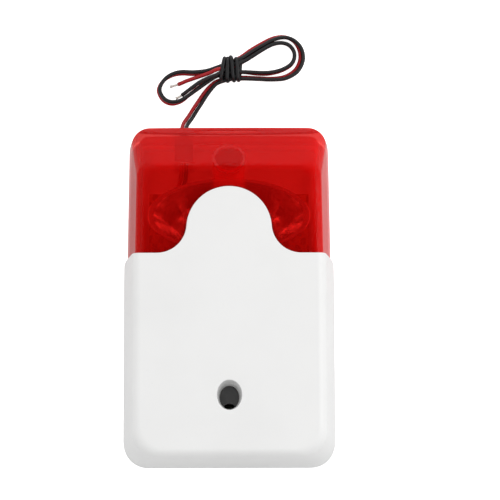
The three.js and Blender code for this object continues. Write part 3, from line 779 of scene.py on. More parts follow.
def smoothed(made: bpy.types.Object, crease: float = 32.0) -> bpy.types.Object:
    """Merges doubles, closes pinholes, shades smooth up to a crease angle and weights the normals.

    Args:
        made: The piece.
        crease: The angle, in degrees, above which an edge stays sharp.

    Returns:
        The same piece.
    """
    work = bmesh.new()
    work.from_mesh(made.data)
    bmesh.ops.remove_doubles(work, verts=work.verts, dist=2e-6)
    bmesh.ops.dissolve_degenerate(work, edges=work.edges, dist=1e-6)
    bmesh.ops.recalc_face_normals(work, faces=work.faces)
    for face in work.faces:
        face.smooth = True
    for edge in work.edges:
        edge.smooth = edge.calc_face_angle(0.0) < math.radians(crease)
    work.to_mesh(made.data)
    work.free()
    weigh = made.modifiers.new("weigh", "WEIGHTED_NORMAL")
    weigh.keep_sharp = True
    weigh.weight = 80
    return applied(made)


def dressed(
    made: bpy.types.Object,
    material: bpy.types.Material,
    body: Body,
    slot: str,
    *nodes: str,
) -> bpy.types.Object:
    """Gives a finished piece its material, its body and the nodes it stands for, and reports it.

    Args:
        made: The finished piece.
        material: Its finish.
        body: The body it rides on.
        slot: The record's material slot.
        nodes: The CAD nodes that it replaces.

    Returns:
        The same piece.
    """
    made.data.materials.clear()
    made.data.materials.append(material)
    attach(made, body.value)
    if nodes:
        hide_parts(*nodes)
    count = len(made.data.polygons) if made.type == "MESH" else len(made.data.splines)
    log.info("%s: %d faces, %s", made.name, count, slot)
    return made


def middle_of(node: str) -> Vector:
    """The middle of a CAD node's box."""
    low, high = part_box(node)
    return (low + high) / 2


# ---------------------------------------------------------------- the shared housing form


@dataclass(frozen=True)
class HousingForm:
    """The outside that the cover, the lens and the back plate share, drawn in by an inset."""

    half_width: float
    cover_end: float
    lens_end: float
    height: float
    foot: float
    waist: float
    side_draft: float = 0.118
    side_bulge: float = 1.15 * MM
    end_draft: float = 0.03
    lens_end_draft: float = 0.01
    lens_taper: float = 0.014
    lens_corner: float = 7.5 * MM
    cover_corner: float = 8.5 * MM
    end_crown: float = 0.1 * MM
    edge_round: float = 2.6 * MM
    slope_drop: float = 17.4 * MM
    slope_ease: float = 0.6 * MM
    proud: float = 1.1 * MM
    corner_steps: int = 12

    @classmethod
    def of_frame(cls) -> "HousingForm":
        """Reads the overall sizes from the frame."""
        low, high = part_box("front_cover")
        lens_low, lens_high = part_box("lens")
        return cls(high.x, low.y, lens_high.y, high.z, low.z, lens_low.y)

    def reach(self, inset: float) -> float:
        """The sum of y and z on the sloping end face."""
        start = self.height - self.slope_drop
        wall = self.lens_end - self.lens_end_draft * (start - self.foot)
        return wall + start + (self.proud - inset) * math.sqrt(2)

    def extent(self, z: float, inset: float) -> tuple[float, float, float]:
        """Half width, lower end and upper end at a height.

        Args:
            z: The height.
            inset: How far the form is drawn in.

        Returns:
            The three places, in metres.
        """
        front = self.height - inset
        into = max(0.0, z - (front - self.edge_round))
        pull = self.edge_round - math.sqrt(max(0.0, self.edge_round**2 - into**2))
        above = z - self.foot
        share = above / (self.height - self.foot)
        bulge = 4 * self.side_bulge * share * (1 - share)
        wall = self.lens_end + self.proud - inset - self.lens_end_draft * above
        slope = self.reach(inset) - z - max(0.0, z - front + 0.4 * MM)
        spread = max(self.slope_ease - abs(wall - slope), 0.0)
        top = min(wall, slope) - spread**2 / (4 * self.slope_ease)
        return (
            self.half_width - inset - self.side_draft * above + bulge - pull,
            self.cover_end + inset + self.end_draft * above + pull,
            top,
        )

    def ring(self, z: float, inset: float) -> list[tuple[float, float, float]]:
        """The outline at a height, anticlockwise from the lower right."""
        half, bottom, top = self.extent(z, inset)
        low, high = self.cover_corner - inset, self.lens_corner - inset
        upper = top - self.end_crown - high
        side = half - self.lens_taper * (upper - self.waist) - high
        crown = [(1 - 0.2 * i) * side for i in range(1, 10)]
        return [
            *self._corner(half - low, bottom + low, low, -0.5, z),
            (half, self.waist, z),
            *self._corner(side, upper, high, 0.0, z),
            *[(x, top - self.end_crown * (x / side) ** 2, z) for x in crown],
            *self._corner(-side, upper, high, 0.5, z),
            (-half, self.waist, z),
            *self._corner(low - half, bottom + low, low, 1.0, z),
        ]

    def _corner(self, x: float, y: float, radius: float, start: float, z: float) -> list[Triple]:
        """A quarter arc that starts at that many half turns."""
        turns = [math.pi * (start + 0.5 * i / self.corner_steps) for i in range(self.corner_steps + 1)]
        return [(x + radius * math.cos(t), y + radius * math.sin(t), z) for t in turns]

    def solid(self, name: str, inset: float, low: float, high: float | None = None) -> bpy.types.Object:
        """The closed form between two heights.

        Args:
            name: The solid's name.
            inset: How far it is drawn in.
            low: Its lowest height.
            high: Its highest, or its own front.

        Returns:
            The new object.
        """
        front = self.height - inset
        top = front if high is None else high
        start = self.height - self.slope_drop
        eased = [start + self.slope_ease * (i - 3) / 2.5 for i in range(7)]
        rounded = [front - self.edge_round * (1 - math.sin(math.pi / 2 * i / 9)) for i in range(10)]
        sides = [self.foot + (self.height - self.foot) * i / 12 for i in range(1, 12)]
        steps = sorted({round(z, 7) for z in (*eased, *rounded) if low + 1e-5 < z < top - 1e-5})
        steps = sorted([*steps, *[z for z in sides if low < z < min(top, start - 2 * MM)]])
        return loft(name, [self.ring(z, inset) for z in (low, *steps, top)])


@dataclass(frozen=True)
class SeamOutline:
    """The line where the cover ends: straight shoulders, hollow corners and a round tongue."""

    shoulder: float
    tongue_y: float
    tongue_radius: float = 14.5 * MM
    hollow_radius: float = 10 * MM
    side: float = 60 * MM
    far: float = -90 * MM
    steps: int = 14

    @classmethod
    def of_frame(cls, lap: float = 5 * MM) -> "SeamOutline":
        """Reads the seam's place from the frame."""
        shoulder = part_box("lens")[0].y + lap
        return cls(shoulder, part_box("front_cover")[1].y - cls.tongue_radius)

    def points(self, grow: float) -> list[tuple[float, float]]:
        """The outline, anticlockwise, moved out by grow."""
        radius, hollow = self.tongue_radius + grow, self.hollow_radius - grow
        rise = self.shoulder + self.hollow_radius - self.tongue_y
        hollow_x = math.sqrt((radius + hollow) ** 2 - rise**2)
        lean = math.atan2(rise, hollow_x)
        level = self.shoulder + grow
        right = self._arc(hollow_x, self.tongue_y + rise, hollow, -math.pi / 2, lean - math.pi, self.steps)
        round_end = self._arc(0.0, self.tongue_y, radius, lean, math.pi - lean, 3 * self.steps)
        left = [(-x, y) for x, y in reversed(right)]
        return [
            (-self.side, self.far),
            (self.side, self.far),
            (self.side, level),
            *right,
            *round_end[1:-1],
            *left,
            (-self.side, level),
        ]

    @staticmethod
    def _arc(x: float, y: float, radius: float, start: float, end: float, steps: int) -> Profile:
        """Points on an arc from one angle to another."""
        turns = [start + (end - start) * i / steps for i in range(steps + 1)]
        return [(x + radius * math.cos(t), y + radius * math.sin(t)) for t in turns]

    def prism(self, name: str, grow: float, front: float, ease: float) -> bpy.types.Object:
        """A solid over the cover's side of the seam, its upper edge drawn in by ease near the front.

        Args:
            name: The solid's name.
            grow: How far the seam is moved out.
            front: The height of the front face.
            ease: The rounding of the edge, negative to flare outwards.

        Returns:
            The new object.
        """
        size = abs(ease)
        levels = [(-5 * MM, grow)]
        for i in range(6):
            turn = math.pi / 2 * i / 5
            drawn_in = math.copysign(size * (1 - math.cos(turn)), ease)
            levels.append((front - size * (1 - math.sin(turn)), grow - drawn_in))
        levels.append((front + 5 * MM, levels[-1][1]))
        return loft(name, [[(x, y, z) for x, y in self.points(grown)] for z, grown in levels])


# ---------------------------------------------------------------- housing pieces


@dataclass
class Housing:
    """The front cover, the lens and the back plate."""

    palette: Palette
    form: HousingForm = field(default_factory=HousingForm.of_frame)
    seam: SeamOutline = field(default_factory=SeamOutline.of_frame)
    cover_wall: float = 2 * MM
    lap_wall: float = 1.4 * MM
    edge_ease: float = 0.35 * MM
    post_radius: float = 3.2 * MM
    lens_post_radius: float = 5.4 * MM
    bore: float = 1.55 * MM
    bore_depth: float = 14.9 * MM
    hole_half_width: float = 4.2 * MM
    hole_half_length: float = 5.05 * MM
    nozzle_wall: float = 1.5 * MM
    nozzle_depth: float = 9 * MM
    nozzle_taper: float = 0.9 * MM
    plate_inset: float = 1.4 * MM
    plate: float = 3 * MM
    rim_rise: float = 5 * MM
    board_post_radius: float = 3 * MM
    recess_radius: float = 2.9 * MM
    recess_depth: float = 1.6 * MM
    pilot_radius: float = 1.25 * MM
    keyhole_spread: float = 14 * MM
    keyhole_y: float = 18 * MM
    keyhole_radius: float = 2.8 * MM
    keyhole_slot: float = 1.6 * MM
    keyhole_travel: float = 8 * MM

    def screw_places(self) -> dict[str, Vector]:
        """Where the three case screws stand, by name."""
        return {side: middle_of(f"case_screw_{side}") for side in ("top", "left", "right")}

    def _post(self, side: str, radius: float, inset: float) -> bpy.types.Object:
        """A screw post trimmed to the inside of the form."""
        place = self.screw_places()[side]
        at = (place.x, place.y, 0.0)
        post = lathe("post", cylinder_profile(radius, self.form.foot + GAP, self.form.height), at, 48)
        return cut(post, Cut.KEEP, self.form.solid("trim", inset, 0.0))

    def _bore(self, side: str) -> bpy.types.Object:
        """The screw hole of a post."""
        place = self.screw_places()[side]
        at = (place.x, place.y, 0.0)
        return lathe("bore", cylinder_profile(self.bore, -MM, self.bore_depth), at, 24)

    def _hole(self, grow: float, low: float, high: float, ease: float = 0.0) -> bpy.types.Object:
        """The sound hole's form, flared by ease at the front face."""
        width = self.hole_half_width + grow
        profile: Profile = [(0.0, low), (width, low)]
        if ease > 0:
            front = self.form.height
            for i in range(7):
                turn = math.pi / 2 * i / 6
                profile.append((width + ease * (1 - math.cos(turn)), front - ease * (1 - math.sin(turn))))
            profile.append((width + ease, high))
            profile[1] = (width - self.nozzle_taper * (front - low) / self.nozzle_depth, low)
        else:
            profile.append((width, high))
        place = middle_hole()
        stretch = (self.hole_half_length + grow) / width
        return lathe("hole", [*profile, (0.0, high)], (place.x, place.y, 0.0), 72, stretch)

    def front_cover(self) -> bpy.types.Object:
        """Builds and dresses the white cover with its tongue and sound nozzle."""
        form, front = self.form, self.form.height
        cover = form.solid("cover_shell", 0.0, form.foot)
        cut(cover, Cut.REMOVE, form.solid("hollow", self.cover_wall, form.foot - MM))
        cut(cover, Cut.KEEP, self.seam.prism("seam", 0.0, front, self.edge_ease))
        nozzle = self._hole(self.nozzle_wall, front - self.nozzle_depth, front - self.cover_wall / 2)
        posts = [self._post(side, self.post_radius, self.cover_wall / 2) for side in ("left", "right")]
        cut(cover, Cut.JOIN, nozzle, *posts)
        hole = self._hole(0.0, front - self.nozzle_depth - MM, front + MM, 0.3 * MM)
        cut(cover, Cut.REMOVE, hole, self._bore("left"), self._bore("right"))
        cover.name = "cover_shell"
        return dressed(smoothed(cover), self.palette["white_abs"], Body.COVER, "white_abs", "front_cover")

    def lens(self) -> bpy.types.Object:
        """Builds and dresses the red lens, which runs on under the cover's edge."""
        form = self.form
        front = form.height - form.proud
        lap_inset = self.cover_wall + GAP
        inner = lap_inset + self.lap_wall
        lens = form.solid("lens_shell", form.proud, form.foot)
        cut(lens, Cut.REMOVE, self.seam.prism("seam", GAP, front, -0.25 * MM))
        lap = form.solid("lap", lap_inset, form.foot)
        low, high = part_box("lens")
        room = block("room", (2 * low.x, low.y, 0.0), (2 * high.x, 2 * high.y, 2 * high.z))
        cut(lens, Cut.JOIN, cut(lap, Cut.KEEP, room))
        cut(lens, Cut.REMOVE, form.solid("hollow", inner, form.foot - MM))
        cut(lens, Cut.JOIN, self._post("top", self.lens_post_radius, form.proud + self.lap_wall / 2))
        cut(lens, Cut.REMOVE, self._bore("top"), self._lead_notch())
        return dressed(smoothed(lens), self.palette["red_lens"], Body.LENS, "red_lens", "lens")

    def _lead_notch(self) -> bpy.types.Object:
        """The notch in the housing's lower edge that the lead grommet fills."""
        low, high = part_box("lead_grommet")
        margin = Vector((GAP, 4 * MM, GAP))
        return block("notch", low - margin, high + margin)

    def base_plate(self) -> bpy.types.Object:
        """Builds and dresses the back plate with its rim, posts, keyholes and screw recesses."""
        form = self.form
        rim_inset = self.cover_wall + self.lap_wall + 2 * GAP
        rim_high = self.plate + self.rim_rise
        plate = form.solid("back_plate", self.plate_inset, 0.0, self.plate)
        rim = form.solid("rim", rim_inset, self.plate / 2, rim_high)
        cut(rim, Cut.REMOVE, form.solid("hollow", rim_inset + 1.4 * MM, 0.0, rim_high + MM))
        cut(plate, Cut.JOIN, rim, *self._board_posts())
        cut(plate, Cut.REMOVE, *self._plate_holes(), self._lead_notch_up())
        return dressed(smoothed(plate), self.palette["white_abs"], Body.BASE, "white_abs", "base_plate")

    def _lead_notch_up(self) -> bpy.types.Object:
        """The lead notch, open upwards through the plate's rim."""
        notch = self._lead_notch()
        for vertex in notch.data.vertices:
            if vertex.co.z > self.plate:
                vertex.co.z = self.form.height
        return notch

    def _board_posts(self) -> list[bpy.types.Object]:
        """The posts that carry the circuit board."""
        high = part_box("circuit_board")[0].z - GAP
        posts = []
        for node in BOARD_SCREWS:
            place = middle_of(node)
            profile = cylinder_profile(self.board_post_radius, self.plate / 2, high)
            posts.append(lathe("post", profile, (place.x, place.y, 0.0), 40))
        return posts

    def _plate_holes(self) -> list[bpy.types.Object]:
        """Screw recesses, pilot holes and keyholes of the back plate."""
        holes = []
        for place in self.screw_places().values():
            at = (place.x, place.y, 0.0)
            profile = [(0.0, -MM), (self.recess_radius, -MM), (self.recess_radius, self.recess_depth)]
            profile += [(self.bore, self.recess_depth), (self.bore, 5 * MM), (0.0, 5 * MM)]
            holes.append(lathe("recess", profile, at, 40))
        for node in (*BOARD_SCREWS, *SOUNDER_SCREWS):
            place = middle_of(node)
            profile = cylinder_profile(self.pilot_radius, 1.2 * MM, 12 * MM)
            holes.append(lathe("pilot", profile, (place.x, place.y, 0.0), 24))
        holes += [self._keyhole(side * self.keyhole_spread) for side in (-1, 1)]
        return holes

    def _keyhole(self, x: float) -> bpy.types.Object:
        """A keyhole with its slot towards the lens end."""
        low, high = -MM, self.plate + MM
        y, half = self.keyhole_y, self.keyhole_slot
        far = y + self.keyhole_travel
        head = lathe("keyhole", cylinder_profile(self.keyhole_radius, low, high), (x, y, 0.0), 40)
        slot = block("slot", (x - half, y, low), (x + half, far, high))
        end = lathe("end", cylinder_profile(half, low, high), (x, far, 0.0), 32)
        return cut(head, Cut.JOIN, slot, end)

    def build(self) -> None:
        """Builds all three pieces."""
        self.front_cover()
        self.lens()
        self.base_plate()


# ---------------------------------------------------------------- strobe


@dataclass
class Strobe:
    """The chromed bowl and the flash tube in it."""

    palette: Palette
    floor_share: float = 0.45
    wall: float = 1.1 * MM
    lip: float = 1 * MM
    depth: float = 18.4 * MM
    post_radius: float = 2 * MM

    def reflector(self) -> bpy.types.Object:
        """Builds and dresses the oval bowl with its lip and two posts."""
        low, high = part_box("reflector")
        middle = (low + high) / 2
        half = high.x - self.wall - self.lip
        half_length = (high.y - low.y) / 2 - self.wall / 2 - self.lip
        rim = high.z
        floor = rim - self.depth
        squash = half_length / half
        inner = self._softened([self._bowl_point(half, floor, i / 12) for i in range(13)])
        outer = [(r + self.wall, z - self.wall * (1 - (z - floor) / self.depth)) for r, z in inner]
        edge, ease = half + self.wall + self.lip, 0.3 * MM
        profile = [(0.0, floor - self.wall), *outer[:-1], (half + self.wall, rim - self.wall)]
        profile += [(edge - ease, rim - self.wall), (edge, rim - self.wall + ease), (edge, rim - ease)]
        profile += [(edge - ease, rim), (half + ease, rim), *reversed(inner), (0.0, floor)]
        centre = (middle.x, middle.y, 0.0)
        bowl = lathe("reflector_bowl", profile, centre, 120, squash)
        posts = []
        for node in REFLECTOR_SCREWS:
            place = middle_of(node)
            at = (place.x, place.y, 0.0)
            post = lathe("post", cylinder_profile(self.post_radius, low.z, floor + self.depth * 0.45), at, 32)
            room = [(0.0, floor), *inner, (half, rim + MM), (0.0, rim + MM)]
            inside = lathe("inside", room, centre, 120, squash)
            posts.append(cut(post, Cut.REMOVE, inside))
        cut(bowl, Cut.JOIN, *posts)
        return dressed(smoothed(bowl, 40), self.palette["chrome_coat"], Body.BASE, "chrome_coat", "reflector")

    def _bowl_point(self, half: float, floor: float, share: float) -> tuple[float, float]:
        """Radius and height of the bowl's side, from share 0 at its floor to 1 at its rim."""
        radius = half * (self.floor_share + (1 - self.floor_share) * share)
        return radius, floor + self.depth * share**2

    @staticmethod
    def _softened(inner: Profile) -> Profile:
        """Eases the corner between the bowl's floor and its side."""
        (r0, z0), (r1, z1) = inner[0], inner[1]
        eased = [(r0 * 0.7, z0), (r0 * 0.88, z0 + 0.03 * MM), (r0, z0 + 0.12 * MM)]
        return [*eased, (r1, z1 + 0.06 * MM), *inner[2:]]

    def flash_tube(self) -> bpy.types.Object:
        """Builds and dresses the glass tube, drawn in at both ends."""
        low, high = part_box("flash_tube")
        radius, length = (high.z - low.z) / 2, high.x - low.x
        bore = 1.4 * MM
        profile = [(bore, 0.0), (radius - 0.25 * MM, 0.0), (radius, 0.5 * MM), (radius, length - 0.5 * MM)]
        profile += [(radius - 0.25 * MM, length), (bore, length)]
        start = (low.x, (low.y + high.y) / 2, (low.z + high.z) / 2)
        tube = self._ring_along_x("flash_tube_glass", profile, start)
        return dressed(smoothed(tube), self.palette["tube_glass"], Body.BASE, "tube_glass", "flash_tube")

    @staticmethod
    def _ring_along_x(name: str, profile: Profile, start: Triple, steps: int = 40) -> bpy.types.Object:
        """A closed ring whose profile runs along X.

        Args:
            name: The piece's name.
            profile: Radius of each point and its distance along the axis.
            start: Where the axis starts.
            steps: How many turns of the section.

        Returns:
            The new object.
        """
        x, y, z = start
        points = []
        for i in range(steps):
            turn = 2 * math.pi * i / steps
            points += [(x + along, y + r * math.cos(turn), z + r * math.sin(turn)) for r, along in profile]
        count = len(profile)
        faces = []
        for i in range(steps):
            for k in range(count):
                here, after = i * count, ((i + 1) % steps) * count
                faces.append((here + k, here + (k + 1) % count, after + (k + 1) % count, after + k))
        return mesh_object(name, points, faces)

    def build(self) -> None:
        """Builds the strobe's pieces."""
        self.reflector()
        self.flash_tube()
        for side in ("left", "right"):
            frame["nodes"][f"flash_tube_cap_{side}"].data.materials[0] = self.palette["tinned_copper"]


# ---------------------------------------------------------------- screws


@dataclass(frozen=True)
class ScrewKind:
    """One kind of screw, the nodes where it stands, and whether its head faces the wall."""

    name: str
    nodes: tuple[str, ...]
    shank: float
    rise: float
    to_wall: bool


@dataclass
class Screws:
    """The cross-slotted screws, each kind one mesh set on its places."""

    KINDS = (
        ScrewKind("case_screws", CASE_SCREWS, 2.5 * MM, 1.3 * MM, True),
        ScrewKind("board_screws", BOARD_SCREWS, 1.9 * MM, 1.4 * MM, False),
        ScrewKind("sounder_screws", SOUNDER_SCREWS, 1.9 * MM, 1.4 * MM, False),
        ScrewKind("reflector_screws", REFLECTOR_SCREWS, 1.7 * MM, 1.2 * MM, True),
    )

    palette: Palette
    pitch: float = 0.9 * MM
    thread: float = 0.22 * MM
    point: float = 0.9 * MM

    def _screw(self, kind: ScrewKind, head: float, length: float) -> bpy.types.Object:
        """One screw with its head's top at z 0 and its tip below.

        Args:
            kind: What sort of screw it is.
            head: The head's diameter.
            length: The overall length.

        Returns:
            The new object.
        """
        rise, crest, under, tip = kind.rise, kind.shank / 2, -kind.rise, -length
        root = crest - self.thread
        turns = [math.pi / 2 * i / 5 for i in range(1, 5)]
        dome = [(head / 2 * math.cos(t), under + rise * math.sin(t) ** 0.8) for t in turns]
        profile: Profile = [(0.0, tip), (crest / 2, tip + 0.3 * MM)]
        z = tip + self.point
        while z < under - 0.8 * self.pitch:
            profile += [(root, z), (crest, z + 0.45 * self.pitch), (root, z + 0.9 * self.pitch)]
            z += self.pitch
        profile += [(root, under), (head / 2, under), (head / 2, under + 0.15 * rise), *dome]
        screw = lathe("screw", [*profile, (0.0, 0.0)], steps=28)
        long, wide = 0.3 * head, 0.055 * head
        for turn in (0.0, math.pi / 2):
            slot = block("slot", (-long, -wide, -0.55 * rise), (long, wide, MM))
            for vertex in slot.data.vertices:
                vertex.co.x *= 0.35 if vertex.co.z < 0 else 1.0
            slot.data.transform(Matrix.Rotation(turn, 4, "Z"))
            cut(screw, Cut.REMOVE, slot)
        return screw

    @staticmethod
    def _recipe() -> Recipe:
        """Sets a screw on every point, turned over when asked, each at its own angle."""
        r = Recipe("screws_on_places")
        screw, over = r.given("Screw", "Object"), r.given("Turned over", "Float")
        seed = r.given("Seed", "Int")
        held = r.out("GeometryNodeObjectInfo", "Geometry", {"Object": screw})
        spin = r.out("FunctionNodeRandomValue", 1, {2: 0.0, 3: 2 * math.pi, "Seed": seed}, data_type="FLOAT")
        turn = r.out("ShaderNodeCombineXYZ", 0, {0: over * math.pi, 2: spin})
        points = r.out("GeometryNodeMeshToPoints", 0, {"Mesh": r.geometry()})
        placed = {"Points": points, "Instance": held, "Rotation": turn}
        r.finish(r.out("GeometryNodeInstanceOnPoints", 0, placed))
        return r

    def build(self) -> None:
        """Builds every kind."""
        recipe = self._recipe()
        steel = self.palette["screw_steel"]
        for kind in self.KINDS:
            boxes = [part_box(node) for node in kind.nodes]
            low, high = boxes[0]
            screw = self._screw(kind, high.x - low.x, high.z - low.z)
            places = [(*(((a + b) / 2).xy), a.z if kind.to_wall else b.z) for a, b in boxes]
            values = {"Screw": screw, "Turned over": float(kind.to_wall), "Seed": SEED, "Finish": steel}
            piece = recipe.made(kind.name, places, values)
            bpy.data.objects.remove(screw)
            dressed(smoothed(piece, 40), steel, Body.BASE, "screw_steel", *kind.nodes)


# ---------------------------------------------------------------- sounder


@dataclass
class Sounder:
    """The black sounder housing with its port, back, gasket and piezo disc."""

    palette: Palette
    wall: float = 1.6 * MM
    port: float = 2.5 * MM
    port_offset: float = 4.6 * MM
    ear_reach: float = 3.5 * MM
    ear_radius: float = 3.4 * MM
    ear_rise: float = 2.4 * MM
    pilot: float = 1.25 * MM
    seat: float = 2.2 * MM

    def _ears(self, centre: Vector, radius: float, low: float) -> list[bpy.types.Object]:
        """Two screw ears, with their bars to the housing."""
        ears = []
        for side in (-1, 1):
            x = centre.x + side * (radius + self.ear_reach)
            profile = cylinder_profile(self.ear_radius, low, low + self.ear_rise)
            ears.append(lathe("ear", profile, (x, centre.y, 0.0), 40))
            near = x - side * 2 * self.ear_radius
            bar_low = (min(near, x), centre.y - self.ear_radius, low)
            bar_high = (max(near, x), centre.y + self.ear_radius, low + self.ear_rise)
            ears.append(block("bar", bar_low, bar_high))
        return ears

    def _bores(self, centre: Vector, radius: float) -> list[bpy.types.Object]:
        """The screw holes of both ears."""
        reach = radius + self.ear_reach
        profile = cylinder_profile(self.pilot, 0.0, 20 * MM)
        return [lathe("bore", profile, (centre.x + side * reach, centre.y, 0.0), 24) for side in (-1, 1)]

    def _radius(self) -> float:
        """The outer radius of the round housing."""
        low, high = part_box("sounder_housing")
        return (high.y - low.y) / 2

    def housing(self) -> None:
        """Builds the cup with its port."""
        low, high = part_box("sounder_housing")
        centre, radius = (low + high) / 2, self._radius()
        at = (centre.x, centre.y, 0.0)
        cup = lathe("sounder_cup", cylinder_profile(radius, low.z, high.z, 0.5 * MM), at, 96)
        cut(cup, Cut.JOIN, *self._ears(centre, radius, low.z))
        hollow = lathe("hollow", cylinder_profile(radius - self.wall, 0.0, high.z - self.wall), at, 96)
        place = (middle_hole().x, middle_hole().y - self.port_offset, 0.0)
        port = lathe("port", cylinder_profile(self.port, low.z, high.z + MM), place, 48)
        cut(cup, Cut.REMOVE, hollow, port, *self._bores(centre, radius))
        dressed(smoothed(cup), self.palette["sounder_black"], Body.BASE, "sounder_black", "sounder_housing")

    def back(self) -> None:
        """Builds the back with the ledge that carries the disc."""
        low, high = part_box("sounder_back")
        centre, radius = (low + high) / 2, self._radius()
        at = (centre.x, centre.y, 0.0)
        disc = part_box("piezo_disc")
        outer = (disc[1].x - disc[0].x) / 2
        back = lathe("sounder_base", cylinder_profile(radius, low.z, low.z + self.ear_rise), at, 96)
        ledge = lathe("ledge", cylinder_profile(outer, low.z + MM, high.z), at, 72)
        opening = cylinder_profile(outer - self.seat, low.z + self.ear_rise, high.z + MM)
        inside = lathe("inside", opening, at, 72)
        cut(back, Cut.JOIN, *self._ears(centre, radius, low.z), ledge)
        cut(back, Cut.REMOVE, inside, *self._bores(centre, radius))
        dressed(smoothed(back), self.palette["sounder_black"], Body.BASE, "sounder_black", "sounder_back")

    def round_piece(self, node: str, slot: str, body: Body, ease: float) -> None:
        """Builds one plain round piece.

        Args:
            node: The CAD node that it stands for.
            slot: Its finish.
            body: The body it rides on.
            ease: The rounding of its rims.
        """
        low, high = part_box(node)
        centre = (low + high) / 2
        profile = cylinder_profile((high.x - low.x) / 2, low.z, high.z, ease)
        piece = lathe(f"{node}_round", profile, (centre.x, centre.y, 0.0), 96)
        if node == "sounder_gasket":
            bore = cylinder_profile((high.x - low.x) / 2 - self.seat, low.z - MM, high.z + MM)
            cut(piece, Cut.REMOVE, lathe("bore", bore, (centre.x, centre.y, 0.0), 96))
        dressed(smoothed(piece), self.palette[slot], body, slot, node)

    def build(self) -> None:
        """Builds the sounder's pieces."""
        self.housing()
        self.back()
        self.round_piece("sounder_gasket", "gasket_rubber", Body.BASE, 0.2 * MM)
        self.round_piece("piezo_disc", "brass_disc", Body.DIAPHRAGM, 0.05 * MM)
        self.round_piece("piezo_ceramic", "piezo_white", Body.DIAPHRAGM, 0.05 * MM)


def middle_hole() -> Vector:
    """The middle of the sound hole, from its stated opening."""
    low, high = frame["record"]["physics"]["openings"][0]["box_m"]
    return (Vector(low) + Vector(high)) / 2


# ---------------------------------------------------------------- board parts


